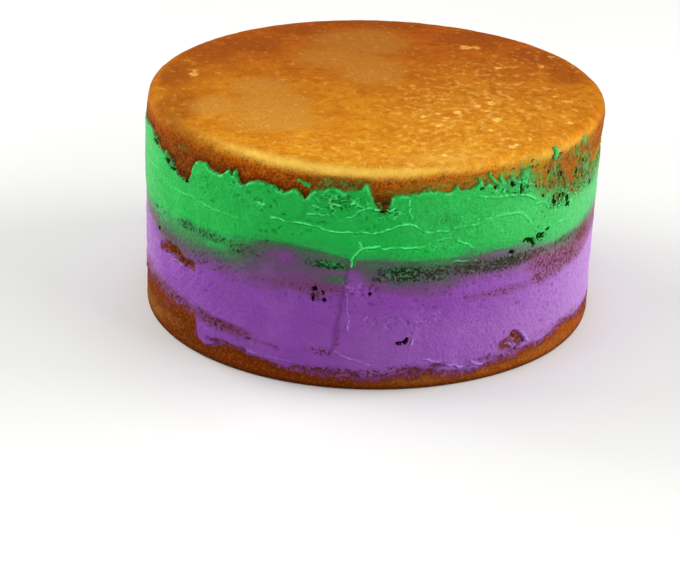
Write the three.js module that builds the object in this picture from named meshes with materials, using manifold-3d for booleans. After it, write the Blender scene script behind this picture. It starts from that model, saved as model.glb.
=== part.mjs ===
// A round layer cake for carnival, half decorated: a browned crust with a bare top,
// a purple band of icing round the lower side and a green band above it.
// Millimetres, +Z up, front towards -Y. Azimuth is 0 at the front and grows towards +X.

import * as THREE from 'three';
import { mergeVertices } from 'three/addons/utils/BufferGeometryUtils.js';
import Module from 'manifold-3d';

const wasm = await Module();
wasm.setup();

// Cake
const CAKE_RADIUS = 104;
const CAKE_HEIGHT = 102;
const TOP_ROUND = 5.3;
const FOOT_ROUND = 1.2;
const LEAN = 2.24;
const LEAN_PIVOT = 0.42;
const TOP_TILT = -0.0081;
const CRUST_WAVE = 0.35;
const CRUST_WAVE_LENGTH = 38;
const TOP_WAVE = 0.45;
const TOP_WAVE_LENGTH = 45;
const FOOT_FADE = 8;
const SIDE_ROW_START = 14;
const SIDE_ROW_STEP = 13.5;
const TOP_RINGS = [0.86, 0.64, 0.4, 0.18];
const CAKE_STEPS = 108;
const ARC_STEPS = 4;

// Icing
const SKIN_GAP = 0.3;
const SKIN = 1.0;
const SKIN_WAVE = 0.22;
const SKIN_WAVE_LENGTH = 14;
const TATTER = 0.9;
const TATTER_LENGTH = 5;
const SEAM_GAP = 0.3;
const OVERLAP_AZIMUTH = -5.5;
const OVERLAP_FADE = 45;
const OVERLAP_STEP = 0.4;
const BAND_STEPS = 204;
const FRONT_DENSITY = 0.3;
const SEED = 17;

// Finishes
const CRUST_COLOUR = '#b97438';
const PURPLE_COLOUR = '#8e4fae';
const GREEN_COLOUR = '#38b25a';
const CRUST_ROUGHNESS = 0.75;
const ICING_ROUGHNESS = 0.5;

// The torn upper edge of the green band, as azimuth in degrees and height
const GREEN_TOP = [
  [-172, 89], [-158, 92], [-149, 85], [-140, 90.5], [-126, 88], [-113, 91], [-104, 85.5], [-95, 88],
  [-85, 87], [-78, 90], [-71, 92.6], [-66, 90], [-61, 87], [-57, 85], [-53.5, 81], [-49.5, 80.6],
  [-47.6, 87], [-45, 89.4], [-42.5, 90.4], [-38, 89.1], [-34, 93], [-32.2, 86.8], [-29, 89.2],
  [-24, 89.3], [-21.2, 86.7], [-18.2, 89.1], [-15.7, 86.1], [-13.5, 90.4], [-7, 90.8], [-1.6, 94.2],
  [-0.7, 89.6], [1.1, 84], [2.5, 84], [3.7, 88.3], [9, 90.4], [11.5, 92.8], [16, 90.5], [19, 93],
  [20.5, 89.5], [24, 91.4], [24.9, 95], [26, 91.6], [27.4, 96], [29, 91.6], [30.1, 94.6], [31.6, 91.6],
  [33.3, 93.8], [35, 92.6], [38, 96.8], [39.7, 94.5], [40.5, 86], [42.5, 82], [45, 79.8], [48.5, 75],
  [53.8, 71.6], [57, 75.5], [60, 74.6], [64, 79], [68, 74.5], [75, 70.8], [84, 69.5], [93, 73],
  [104, 83], [112, 88.5], [124, 86], [136, 91], [150, 87], [162, 90.5], [174, 86.5],
];

// The line where the green band meets the purple one
const BAND_SEAM = [
  [-170, 55], [-140, 58], [-115, 54.5], [-95, 56.5], [-80, 55], [-70, 56], [-64, 54], [-55, 52.6],
  [-45, 55], [-38, 56.5], [-33, 60], [-27, 62.4], [-20, 63.5], [-12, 63], [-6.5, 61], [-4.4, 58],
  [-3, 59.6], [0, 60.5], [5, 59.5], [10, 59.8], [15, 61.5], [22, 60], [30, 61], [36, 60.5],
  [42, 58.5], [50, 57.5], [58, 55.4], [66, 58], [72, 57.4], [80, 53.8], [98, 56], [125, 53],
  [150, 57],
];

// The uneven lower edge of the purple band
const PURPLE_BOTTOM = [
  [-175, 7], [-158, 9.5], [-140, 6.5], [-124, 10], [-108, 12], [-97, 17.5], [-85, 19.6], [-70, 21],
  [-55, 20.2], [-45.5, 19.6], [-44.3, 7], [-42.5, 5.2], [-40.3, 5.8], [-38.4, 10], [-34, 10.7],
  [-29, 9], [-23, 8], [-19, 6], [-14, 4.9], [0, 4.6], [5, 5], [9, 6.6], [17, 6.6], [21, 5.1],
  [27, 5.8], [34, 7], [36.2, 11.5], [37, 18.4], [38.6, 18.8], [42.4, 10.4], [48, 9], [52, 10.5],
  [57, 12], [64, 11], [72, 9.8], [85, 7.6], [104, 9.5], [120, 6.5], [142, 8], [160, 6],
];

// The strip torn out of the purple band at the left, with its outline
const TORN_STRIP = [
  [-64, 42.2], [-61, 40.3], [-57, 40.6], [-53, 39.4], [-49, 40], [-45.2, 39.6], [-45.8, 42.4],
  [-49.5, 42.8], [-52, 44.6], [-54.6, 46], [-58, 44.4], [-61, 43.6],
];

const radians = THREE.MathUtils.degToRad;
const degrees = THREE.MathUtils.radToDeg;
const clamp = THREE.MathUtils.clamp;
const lerp = THREE.MathUtils.lerp;

function latticeValue(x, y, z) {
  let h = Math.imul(x, 374761393) + Math.imul(y, 668265263) + Math.imul(z, 2147483647) + SEED;
  h = Math.imul(h ^ (h >>> 13), 1274126177);
  return ((h ^ (h >>> 16)) >>> 0) / 4294967295;
}

// Smooth noise from -1 to 1, with hills about one unit wide
function noise(x, y, z) {
  const cell = [Math.floor(x), Math.floor(y), Math.floor(z)];
  const part = [x - cell[0], y - cell[1], z - cell[2]].map((t) => t * t * (3 - 2 * t));
  let sum = 0;
  for (let corner = 0; corner < 8; corner += 1) {
    const step = [corner & 1, (corner >> 1) & 1, corner >> 2];
    const weight = step.reduce((w, s, k) => w * (s ? part[k] : 1 - part[k]), 1);
    sum += weight * latticeValue(cell[0] + step[0], cell[1] + step[1], cell[2] + step[2]);
  }
  return 2 * sum - 1;
}

// Noise on the cake's side, with hills of the given size
function sideNoise(azimuth, height, size, layer) {
  const x = CAKE_RADIUS * Math.sin(azimuth);
  const y = CAKE_RADIUS * Math.cos(azimuth);
  return noise(x / size + layer * 31, y / size, height / size);
}

// Height of a closed outline at an azimuth, straight between its points
function edgeHeight(points, azimuth) {
  const at = degrees(azimuth);
  const last = points[points.length - 1];
  const ring = [[last[0] - 360, last[1]], ...points, [points[0][0] + 360, points[0][1]]];
  const next = ring.findIndex((point) => point[0] > at);
  const [a0, z0] = ring[next - 1];
  const [a1, z1] = ring[next];
  return lerp(z0, z1, (at - a0) / (a1 - a0));
}

function topHeight(x) {
  return CAKE_HEIGHT + TOP_TILT * x;
}

// Puts a point of the upright round shape on the real one, which leans and has a sloping top
function settle(x, y, z) {
  const share = z / CAKE_HEIGHT;
  return [x + LEAN * (share - LEAN_PIVOT), y, z + share * (topHeight(x) - CAKE_HEIGHT)];
}

// How far the crust's side stands out from its round shape
function crustRelief(azimuth, z) {
  const fade = clamp(z / FOOT_FADE, 0, 1);
  return fade * CRUST_WAVE * sideNoise(azimuth, z, CRUST_WAVE_LENGTH, 0);
}

function skinThickness(azimuth, z) {
  const past = degrees(azimuth) - OVERLAP_AZIMUTH;
  const overlap = past > 0 ? OVERLAP_STEP * clamp(1 - past / OVERLAP_FADE, 0, 1) : 0;
  return SKIN + overlap + SKIN_WAVE * sideNoise(azimuth, z, SKIN_WAVE_LENGTH, 1);
}

// More steps round the front, where the torn edges show best
function spreadAzimuth(azimuth) {
  return azimuth - FRONT_DENSITY * Math.sin(azimuth);
}

// Turns a lathe's profile about Z and moves each of its points by the shape function
function shapedLathe(profile, steps, shape) {
  const lathe = new THREE.LatheGeometry(profile, steps);
  const rows = profile.length;
  const place = lathe.getAttribute('position');
  for (let column = 0; column <= steps; column += 1) {
    const turn = column === steps ? 0 : column;
    const azimuth = -Math.PI + (2 * Math.PI * turn) / steps;
    for (let row = 0; row < rows; row += 1) {
      place.setXYZ(column * rows + row, ...shape(azimuth, row));
    }
  }
  lathe.deleteAttribute('normal');
  lathe.deleteAttribute('uv');
  return mergeVertices(lathe, 1e-4);
}

function onCylinder(azimuth, radius, z) {
  return settle(radius * Math.sin(azimuth), -radius * Math.cos(azimuth), z);
}

function cakeProfile() {
  const profile = [[0, 0], [CAKE_RADIUS - FOOT_ROUND, 0], [CAKE_RADIUS, FOOT_ROUND]];
  const shoulder = CAKE_HEIGHT - TOP_ROUND;
  for (let z = SIDE_ROW_START; z < shoulder - TOP_ROUND; z += SIDE_ROW_STEP) {
    profile.push([CAKE_RADIUS, z]);
  }
  for (let step = 0; step <= ARC_STEPS; step += 1) {
    const turn = (Math.PI / 2) * (step / ARC_STEPS);
    const inset = TOP_ROUND * (1 - Math.cos(turn));
    profile.push([CAKE_RADIUS - inset, CAKE_HEIGHT - TOP_ROUND * (1 - Math.sin(turn))]);
  }
  for (const share of TOP_RINGS) profile.push([CAKE_RADIUS * share, CAKE_HEIGHT]);
  profile.push([0, CAKE_HEIGHT]);
  return profile.map(([r, z]) => new THREE.Vector2(r, z));
}

// The side swells and shrinks a little, and so does the top away from its rim
function cakeGeometry() {
  const profile = cakeProfile();
  return shapedLathe(profile, CAKE_STEPS, (azimuth, row) => {
    const { x: radius, y: z } = profile[row];
    const share = (radius / CAKE_RADIUS) ** 6;
    const [x, y, height] = onCylinder(azimuth, radius + share * crustRelief(azimuth, z), z);
    const swell = TOP_WAVE * noise(x / TOP_WAVE_LENGTH, y / TOP_WAVE_LENGTH, SEED);
    return [x, y, z < CAKE_HEIGHT ? height : height + (1 - share) * swell];
  });
}

// A skin of icing between a lower and an upper edge: up its outside and down its back
function bandGeometry(lowerEdge, upperEdge) {
  const outside = [0, 0.1, 0.3, 0.5, 0.7, 0.9, 1];
  const back = [1, 0.5, 0];
  const shares = [...outside, ...back, outside[0]];
  const profile = shares.map((share, row) => {
    const isBack = row >= outside.length && row < shares.length - 1;
    return new THREE.Vector2(CAKE_RADIUS + SKIN_GAP + (isBack ? 0 : SKIN), CAKE_HEIGHT * share);
  });
  return shapedLathe(profile, BAND_STEPS, (turn, row) => {
    const azimuth = spreadAzimuth(turn);
    const z = lerp(lowerEdge(azimuth), upperEdge(azimuth), shares[row]);
    const isBack = row >= outside.length && row < shares.length - 1;
    const thickness = isBack ? 0 : skinThickness(azimuth, z);
    const surface = CAKE_RADIUS + SKIN_GAP + crustRelief(azimuth, z);
    return onCylinder(azimuth, surface + thickness, z);
  });
}

function toManifold(geometry) {
  return new wasm.Manifold(new wasm.Mesh({
    numProp: 3,
    vertProperties: new Float32Array(geometry.getAttribute('position').array),
    triVerts: new Uint32Array(geometry.getIndex().array),
  }));
}

function fromManifold(solid) {
  const { vertProperties, triVerts } = solid.getMesh();
  const geometry = new THREE.BufferGeometry();
  geometry.setAttribute('position', new THREE.BufferAttribute(vertProperties, 3));
  geometry.setIndex(new THREE.BufferAttribute(triVerts, 1));
  return geometry;
}

// A block that reaches through the skin over an outline given as azimuth and height
function skinCutter(outline) {
  const middle = outline.reduce((sum, point) => sum + point[0], 0) / outline.length;
  const shape = new THREE.Shape(outline.map(([azimuth, z]) => (
    new THREE.Vector2(CAKE_RADIUS * Math.sin(radians(azimuth - middle)), z)
  )));
  const block = new THREE.ExtrudeGeometry(shape, { depth: CAKE_RADIUS / 2, bevelEnabled: false });
  block.translate(0, 0, CAKE_RADIUS * 0.75);
  block.rotateX(Math.PI / 2);
  block.rotateZ(radians(middle));
  block.deleteAttribute('normal');
  block.deleteAttribute('uv');
  return mergeVertices(block, 1e-4);
}

// An edge of the icing that the scraper has torn into small teeth
function tornEdge(points, azimuth) {
  const height = edgeHeight(points, azimuth);
  return height + TATTER * sideNoise(azimuth, height, TATTER_LENGTH, 2);
}

function purpleGeometry() {
  const band = bandGeometry(
    (azimuth) => tornEdge(PURPLE_BOTTOM, azimuth),
    (azimuth) => edgeHeight(BAND_SEAM, azimuth) - SEAM_GAP,
  );
  return fromManifold(toManifold(band).subtract(toManifold(skinCutter(TORN_STRIP))));
}

function greenGeometry() {
  return bandGeometry(
    (azimuth) => edgeHeight(BAND_SEAM, azimuth),
    (azimuth) => tornEdge(GREEN_TOP, azimuth),
  );
}

function piece(name, geometry, color, roughness) {
  geometry.computeVertexNormals();
  const material = new THREE.MeshStandardMaterial({ color, roughness, metalness: 0 });
  const mesh = new THREE.Mesh(geometry, material);
  mesh.name = name;
  return mesh;
}

const group = new THREE.Group();
group.add(piece('cake', cakeGeometry(), CRUST_COLOUR, CRUST_ROUGHNESS));
group.add(piece('purple_icing', purpleGeometry(), PURPLE_COLOUR, ICING_ROUGHNESS));
group.add(piece('green_icing', greenGeometry(), GREEN_COLOUR, ICING_ROUGHNESS));

export default group;
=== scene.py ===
"""A half decorated carnival layer cake, modelled over its CAD frame.

Surfaces are worked out in millimetres, with azimuth in degrees (0 at the front,
growing to the right) and height above the floor, and turned to metres at the end.
"""
import math

import bpy
import numpy as np
from mathutils import Matrix, Vector


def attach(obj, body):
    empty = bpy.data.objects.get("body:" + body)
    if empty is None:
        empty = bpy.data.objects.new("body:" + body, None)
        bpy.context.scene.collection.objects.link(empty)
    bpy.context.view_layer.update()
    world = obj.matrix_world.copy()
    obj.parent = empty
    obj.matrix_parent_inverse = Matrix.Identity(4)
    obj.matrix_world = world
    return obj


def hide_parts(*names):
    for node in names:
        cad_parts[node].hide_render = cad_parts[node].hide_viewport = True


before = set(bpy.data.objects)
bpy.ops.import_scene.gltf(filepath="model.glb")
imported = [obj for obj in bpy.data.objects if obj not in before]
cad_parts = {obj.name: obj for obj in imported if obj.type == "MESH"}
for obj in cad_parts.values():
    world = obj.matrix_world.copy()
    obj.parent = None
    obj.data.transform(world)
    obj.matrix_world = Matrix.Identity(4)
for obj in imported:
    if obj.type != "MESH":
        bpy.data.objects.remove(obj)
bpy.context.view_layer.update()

MM = 0.001

# The cake's form, as in the CAD model
CAKE_RADIUS = 104.0
CAKE_HEIGHT = 102.0
TOP_ROUND = 5.3
FOOT_ROUND = 1.2
LEAN = 2.24
LEAN_PIVOT = 0.42
TOP_TILT = -0.0081
CRUST_WAVE = 0.35
CRUST_WAVE_LENGTH = 38.0
TOP_WAVE = 0.45
TOP_WAVE_LENGTH = 45.0
FOOT_FADE = 8.0
SKIN = 1.3
THINNER_RIGHT = 0.8
THINNER_LEFT = 0.6
OVERLAP_STEP = 0.55

MM_PER_DEGREE = CAKE_RADIUS * math.pi / 180.0

# Azimuths over which the cake's sides begin and end, to the left and to the right
SIDE_BEGINS = (35.0, 75.0)
SIDE_ENDS = (120.0, 150.0)

# How far the crust draws in at its sides, and the heights over which that begins and ends
WAIST_RIGHT = 0.7
WAIST_RIGHT_BEGINS = (10.0, 24.0)
WAIST_RIGHT_ENDS = (96.0, 80.0)
WAIST_LEFT = 0.4
WAIST_LEFT_BEGINS = (16.0, 24.0)
WAIST_LEFT_ENDS = (60.0, 52.0)
RIM_IN_LEFT = 0.45
RIM_IN_BEGINS = (92.0, 97.0)
FOOT_SPREAD_BEGINS = (11.0, 4.0)

# Azimuths over which paint sets in or ends, each counted to its own side: the side that
# shows, the icing's sides painted pale as a sheen, the crust's front and right painted lighter
# as lit, and its sides painted darker as shade
SHOWN_ENDS = (95.0, 130.0)
PALE_RIGHT = (15.0, 88.0)
PALE_LEFT = (55.0, 88.0)
# The crust's front and right painted lighter, as lit
LIT_SIDE_BEGINS = (-25.0, 42.0)
LIT_SIDE_ENDS = (150.0, 100.0)
# The crust's sides painted darker, as shade
SIDE_SHADE_LEFT = (30.0, 52.0)
SIDE_SHADE_LEFT_EASES = (52.0, 66.0)
SIDE_SHADE_RIGHT = (62.0, 82.0)

# Heights over which paints of the crust's side set in; the last is painted shade along the
# very foot
HEIGHT_PAINTS = {"purple_side": (60.0, 50.0), "foot": (40.0, 10.0), "under": (3.4, 0.4)}

# Distances down the rounded edge over which the side's marks, the films of icing and the
# painted shade at the sides set in, and how much higher and from which azimuths on the films
# begin at the right
MARKS_BEGIN = (2.0, 5.0)
FILMS_BEGIN = (6.0, 8.0)
FILMS_HIGHER = 3.0
FILMS_HIGHER_FROM = (30.0, 42.0)
SIDE_SHADE_BEGINS = (1.0, 6.0)

# Heights just over the floor, and between the two bands' torn edges
ABOVE_FLOOR = 0.5
MIDDLE = 50.0

# Half width of the shade beside thick icing
CREVICE_WIDTH = 1.3

# Seeded noise: the numbers that scatter its values, the range they fill, and how far apart
# its layers lie
SEED = 17
SCATTER = (374761393, 668265263, 2147483647)
SCATTER_AGAIN = 1274126177
WORD = 0xFFFFFFFF
LAYER_STEP = 31.0

# Layers of fine relief on the baked crust: rise, size and shift, the heights over which
# it begins, and the rise of its rough patch
CRUST_GRAIN = [(0.16, 5.0, 40.0), (0.1, 1.9, 80.0)]
GRAIN_BEGINS = (0.0, 4.0)
ROUGH_RISE = 0.5

# Low waves, drag marks and bumps of the icing: rise, size, noise layer and stretch
SKIN_RELIEF = [(0.22, 14.0, 1), (0.06, 0.9, 9, 14.0), (0.07, 2.6, 15, 9.0), (0.08, 2.4, 10), (0.07, 1.2, 16)]
CRINKLE_RISE = 0.45

# Share of an oval spot's half width where it begins to fade, and where it ends
SIDE_SPOT_FADE = (0.35, 1.25)
TOP_SPOT_FADE = (0.3, 1.3)

# Camera, as measured on the photograph
CAMERA_DISTANCE = 883.9
CAMERA_ELEVATION = 25.05
CAMERA_YAW = -0.902
CAMERA_PITCH = 0.045
CAMERA_ROLL = 0.982
CAMERA_LENS = 97.7
SENSOR_WIDTH = 36.0
CAMERA_CLIP = (0.05, 20.0)

# Soft square lights: place and size in metres, and power in watts
LIGHTS = [
    ("window_right", (1.5, 0.1, 0.75), 0.9, 21.5),
    ("window_right_front", (1.3, -0.8, 0.6), 0.9, 16.0),
    ("window_right_back", (1.3, 0.9, 0.9), 0.9, 2.9),
    ("window_left", (-1.5, 0.2, 0.8), 0.9, 16.0),
    ("window_left_front", (-1.3, -0.8, 0.6), 0.9, 9.0),
    ("window_left_back", (-1.3, 0.9, 0.9), 0.9, 14.7),
    ("lamp_above", (0.15, 0.35, 1.6), 1.0, 2.9),
    ("lamp_back", (0.0, 1.6, 0.8), 1.2, 1.2),
    ("lamp_front", (-0.2, -1.8, 0.9), 1.2, 1.3),
]
LIGHT_AIM = 0.05
ROOM_LIGHT = 0.13
FLOOR_SIZE = 6.0

# Columns and rows of the meshes, with the columns close together over SEEN_TURN to either
# side. The crust's side has rows from one height to another, a step apart, its rounded edge
# has EDGE_TURNS of them, and its top has them closer together toward the edge
CRUST_COLUMNS = 620
BAND_COLUMNS = 900
GREEN_ROWS = 92
PURPLE_ROWS = 105
SIDE_ROWS = [(2.1, 24.0, 0.9), (25.0, 36.0, 4.0), (37.5, 48.0, 1.2), (50.0, 64.0, 4.0),
             (66.0, CAKE_HEIGHT - TOP_ROUND - 0.3, 0.9)]
BACK_ROWS = 3
EDGE_TURNS = 10
TOP_STEP = 0.9
TOP_STEP_GROWTH = 1.014
TOP_LAST_ROW = 2.0
BOTTOM_ROW = 60.0
SEEN_TURN = 92.0
SEEN_FADE = 20.0
BACK_SHARE = 0.35

# Depths under the crust of a band's back, and of its face where the crust is bare
BACK_DEPTH = 1.6
SUNK = 0.7

# Least thickness of the icing, a torn edge's lip by its rise, distance in from the edge and
# width, the thickness of thin scraps, and how far the bands overlap
LEAST_SKIN = 0.2
LIP = 0.35
LIP_PLACE = 0.45
LIP_WIDTH = 0.6
FLAKE = 0.4
SEAM_OVERLAP = 0.4

# How far a drawn line reaches to its sides and past its ends, and from which half width on
# it is soft, with no paint of its own
LINE_REACH = 1.5
LINE_END = 0.5
SOFT_LINE = 0.65

# How far from a torn strip and from a strip left on the crust the distance to it counts,
# over how many columns to either side the one to an edge is measured, and a far distance
STRIP_REACH = 5.0
SCRAP_REACH = 3.0
EDGE_REACH = 7
FAR = 1000.0

# Depth from which on a hole is painted dark, as shade
DEEP_HOLE = 1.15

# Noise layers of the teeth on the bands' torn edges
GREEN_TEETH_LAYER = 20
PURPLE_TEETH_LAYER = 24

# The torn upper edge of the green band, as azimuth and height
GREEN_TOP = [
    (-172, 89), (-158, 92), (-149, 85), (-140, 90.5), (-126, 88), (-113, 91), (-104, 88), (-95, 90),
    (-85, 88), (-79, 89.4), (-75, 90.4), (-72, 91.8), (-70, 92.4), (-68, 91.2), (-66.4, 90.2),
    (-65.4, 90.4), (-64.4, 87.8), (-62.6, 86.2), (-60.8, 86.2), (-59, 87.4), (-57.8, 86.2),
    (-56.8, 86.2), (-55.8, 83.4), (-54.6, 81.2), (-53.2, 80.2), (-51.4, 79.8), (-49.8, 79.9),
    (-48.6, 81.4), (-47.9, 83.4), (-47.3, 86), (-46.6, 88.2), (-45.5, 90.2), (-44, 91), (-42.5, 91.4),
    (-41.4, 89.8), (-39, 88.9), (-37.4, 89.2), (-36.4, 90.6), (-35.2, 92.6), (-33.6, 93.6), (-33, 93.7),
    (-33.5, 91.9), (-33.7, 90.4), (-32.6, 88.2), (-31.4, 87.2), (-30.4, 87.6), (-30, 88.7), (-29, 89.6),
    (-27.5, 90.2), (-25, 90.2), (-23, 89.7), (-21.2, 88.9), (-21.7, 87.5), (-20.6, 87.1), (-19.4, 88.2),
    (-18.4, 89.4), (-17.5, 89.7), (-16.8, 88.2), (-15.5, 86.3), (-15, 87), (-14.5, 88.6), (-13.5, 89.9),
    (-12, 91.1), (-10, 92.2), (-8.6, 92.8), (-7.6, 92), (-6.4, 91), (-5.2, 92), (-3.6, 92.3),
    (-2.6, 93), (-1.9, 95.6), (-1.1, 94.8), (-0.4, 91), (0.1, 88.6), (0.5, 86), (1, 84.8), (1.7, 84.2),
    (2.6, 84), (3.3, 84.6), (3.8, 86.2), (4, 88), (4.6, 89), (5.4, 89.4), (8, 90.5), (10, 90.9),
    (10.8, 91.8), (11.6, 91.4), (12.5, 92.4), (13.4, 91.6), (15, 91.4), (17, 91), (18.4, 91.8),
    (19.2, 93.5), (19.8, 91.4), (20.4, 90.8), (22, 91.4), (24, 92.3), (24.5, 94), (24.9, 95.8),
    (25.3, 93.6), (25.8, 92.1), (26.6, 92.4), (27.2, 93.4), (28.2, 91), (29.6, 91.8), (30.1, 95),
    (30.7, 93), (31.6, 91.6), (32.4, 92.4), (33.2, 94), (34, 93.4), (34.7, 91.6), (35.4, 93.6),
    (36.2, 96), (37.2, 97.2), (38.2, 97.4), (39, 96.4), (40, 93.4), (41, 90), (42, 87.6), (43, 85.8),
    (44.2, 85), (45.4, 86.4), (46.4, 90.5), (47.4, 93), (48.6, 92), (49.6, 89), (50.8, 86), (52, 84.4),
    (53.4, 82.6), (54.6, 81), (56, 79.9), (57.2, 80.2), (58.4, 83), (59.6, 86), (61, 87.6), (63, 88),
    (64.4, 86.8), (65.6, 84.6), (67.4, 82.2), (69.6, 81.2), (72, 81.2), (75, 80.8), (79, 80.2),
    (84, 79), (93, 82), (104, 86), (112, 88.5), (124, 86), (136, 91), (150, 87), (162, 90.5),
    (174, 86.5),
]

# How far small teeth move that edge, by azimuth
GREEN_TEETH = [
    (-180, 0.5), (-72, 0.5), (-67, 1.7), (-48, 1.7), (-45, 0.6), (-2, 0.6), (0, 1.2), (5, 1.2),
    (8, 0.5), (26, 0.5), (34, 1), (64, 1.2), (72, 0.6),
]

# How deep the specks of crust reach in from that edge, and those of icing out from it
GREEN_FRINGE = [
    (-180, 1.2, 1.2), (-84, 1, 1), (-66, 0.9, 0.7), (-50, 1.1, 0.6), (-46, 0.5, 0.6), (-30, 0.45, 0.5),
    (-16, 0.4, 0.8), (-13, 0.5, 3), (-8, 0.6, 5), (-3, 0.7, 4), (-0.4, 0.9, 2.2), (2, 2.6, 2),
    (4.4, 0.5, 0.9), (9, 0.4, 0.9), (11, 1, 1.4), (18, 0.5, 1.4), (21, 0.5, 2.4), (26, 1, 2.6),
    (30, 1.4, 3.6), (34, 2, 3), (37, 4, 3.6), (39, 7, 5), (41, 9, 9), (43, 6, 12), (45, 6, 12),
    (47, 14, 14), (49, 18, 15), (51, 14, 12), (53, 11, 7), (55, 6, 5), (57, 8, 12), (59, 14, 18),
    (61, 18, 18), (64, 16, 14), (66, 14, 7), (70, 13, 5), (74, 13, 7), (80, 9, 8), (90, 4, 4),
    (104, 1.5, 1.5), (180, 1.2, 1.2),
]

# How far up and down the bands' grids reach, past all torn edges and scraps
GREEN_REACH = [
    (-180, 96), (-78, 97), (-66, 96.4), (-48, 96.5), (-36, 97), (-20, 97), (-10, 99), (20, 99.5),
    (34, 100.2), (64, 100.6), (76, 97), (92, 94), (112, 96), (180, 96),
]
PURPLE_REACH = [
    (-180, 2.4), (-120, 3), (-95, 6), (-50, 8), (-46, 4), (-42, 2.6), (0, 1.8), (60, 2.6), (90, 3),
    (120, 2.6), (180, 2.4),
]

# The line where the green band meets the purple one
BAND_SEAM = [
    (-170, 55), (-140, 58), (-115, 54.5), (-95, 56.5), (-80, 55), (-70, 56), (-64, 54), (-55, 52.6),
    (-45, 55), (-38, 56.5), (-33, 60), (-27, 62.4), (-20, 63.5), (-12, 63), (-6.5, 61), (-4.4, 58),
    (-3, 59.6), (0, 60.5), (5, 59.5), (10, 59.8), (15, 61.5), (22, 60), (30, 61), (36, 60.5),
    (42, 58.5), (50, 57.5), (58, 55.4), (66, 58), (72, 57.4), (80, 53.8), (98, 56), (125, 53),
    (150, 57),
]

# The uneven lower edge of the purple band: azimuth, height, and how deep the specks of
# crust reach up into it and those of icing down from it
PURPLE_BOTTOM = [
    (-175, 7, 2, 2), (-158, 9.5, 2, 2), (-140, 6.5, 2, 2), (-124, 10, 3, 3), (-108, 12, 4, 4),
    (-97, 13, 5, 5), (-88, 15, 6, 6), (-80, 17, 7, 6), (-74, 18.4, 7, 6), (-69, 19, 6, 4),
    (-66, 19.3, 5, 3.4), (-63, 19.2, 5.4, 5), (-60, 18, 6.4, 6.4), (-57, 18, 6.6, 4),
    (-54, 18.9, 4.6, 3.4), (-51, 19, 6, 4), (-48, 18.2, 6, 4.6), (-46, 18, 3, 3), (-45.5, 16, 1, 1),
    (-45.2, 11, 0.8, 1), (-44.8, 8.6, 0.8, 2.4), (-43, 7.2, 0.9, 1.4), (-41, 7, 1, 1.4),
    (-39.4, 8.2, 1.2, 2.6), (-37.6, 10.2, 1.6, 2.4), (-36, 10.4, 2, 2.2), (-33, 9.9, 1.9, 1.6),
    (-30, 9.6, 2, 1.3), (-27, 8.8, 1.8, 1.5), (-24, 8.4, 2.3, 1.4), (-21, 7.5, 2.2, 1.9),
    (-18, 6.2, 2.6, 1.5), (-15, 5.9, 2.8, 1.6), (-12, 6, 3.2, 2.5), (-9, 6, 3.8, 2.5),
    (-6, 5.4, 4.6, 1.8), (-3, 6.2, 3, 2.4), (0, 5.5, 3, 3), (3, 5.5, 3.6, 3), (6, 6.5, 2.6, 3.4),
    (9, 7.6, 2.8, 4), (12, 6.8, 4.2, 4.6), (15, 8.4, 2, 4), (18, 7.2, 3, 4), (21, 5.6, 4, 3.4),
    (24, 5.3, 3.6, 3), (27, 5.5, 2, 2.6), (30, 6.5, 3, 2.6), (33, 7, 5, 2.6), (36, 6.6, 6, 1.5),
    (39, 6.6, 5, 1.6), (42, 8.8, 3.6, 3.6), (45, 8.6, 3.6, 2.5), (48, 8.8, 3.4, 2.2),
    (51, 9.1, 4.4, 2.7), (54, 10.2, 4.3, 4), (57, 11.7, 3, 2.4), (61, 11, 3, 2), (64, 9.7, 4, 3),
    (68, 9.2, 3.4, 3.8), (72, 9, 3.6, 3.8), (78, 9.4, 4, 4), (85, 9, 4, 4), (104, 9.5, 3, 3),
    (120, 6.5, 2, 2), (142, 8, 2, 2), (160, 6, 2, 2),
]

# How far small teeth move that edge, by azimuth
PURPLE_TEETH = [(-180, 0.5), (-12, 0.5), (0, 0.8), (30, 0.8), (40, 0.6)]

# The smear between the bands: azimuth, then the heights where it is a little mixed, more
# green than purple, more purple than green, and nearly clean purple
SMEAR = [
    (-170, 62, 54, 50, 44), (-140, 66, 56, 52, 46), (-115, 60, 53, 48, 42), (-95, 63, 54, 50, 45),
    (-82, 61, 54, 50, 46), (-70, 58.6, 52.6, 49.6, 46), (-60, 58.4, 50.6, 46.4, 43),
    (-50, 59.4, 52.4, 47, 43), (-40, 59.8, 53.2, 49.8, 46), (-36, 60.2, 52.6, 49.8, 46),
    (-33, 62.2, 53.6, 50, 45.6), (-30, 63.4, 60, 51.4, 45.6), (-28, 64.2, 63.2, 54, 45.6),
    (-26, 64.7, 64, 58.6, 45.6), (-23, 64.9, 64.3, 61.4, 46), (-20, 65.1, 64.6, 61.6, 46),
    (-17, 65, 64.4, 60, 46), (-14, 64.7, 64, 56, 46), (-11, 64.1, 63.2, 56.2, 46),
    (-8, 63.2, 62.2, 54.5, 47), (-5.6, 62, 60.6, 57, 49), (-4.6, 61.6, 60.2, 58.8, 56.6),
    (-2.6, 61.8, 60.4, 57.6, 54.4), (-1, 62.2, 60.8, 55, 51), (3, 62, 60, 52, 49.4),
    (8, 61.2, 59, 50.6, 47.4), (13, 60.6, 58.8, 50.8, 45.8), (18, 61.8, 59.8, 51.6, 47),
    (22, 62.8, 60.4, 53.6, 49.8), (30, 63, 60.8, 54.2, 50), (37, 63, 60.4, 54.4, 50),
    (43, 60.4, 58.4, 54.4, 51), (48, 58.8, 56.4, 53.2, 47.4), (54, 57.8, 54.8, 51.6, 46.6),
    (60, 58, 54.4, 51, 46.4), (66, 59.6, 55.6, 52, 46.4), (74, 61.4, 57, 52.4, 46),
    (84, 62, 56, 51, 44), (98, 64, 57, 52, 45), (125, 60, 53, 48, 41), (150, 65, 56, 51, 45),
]
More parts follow.
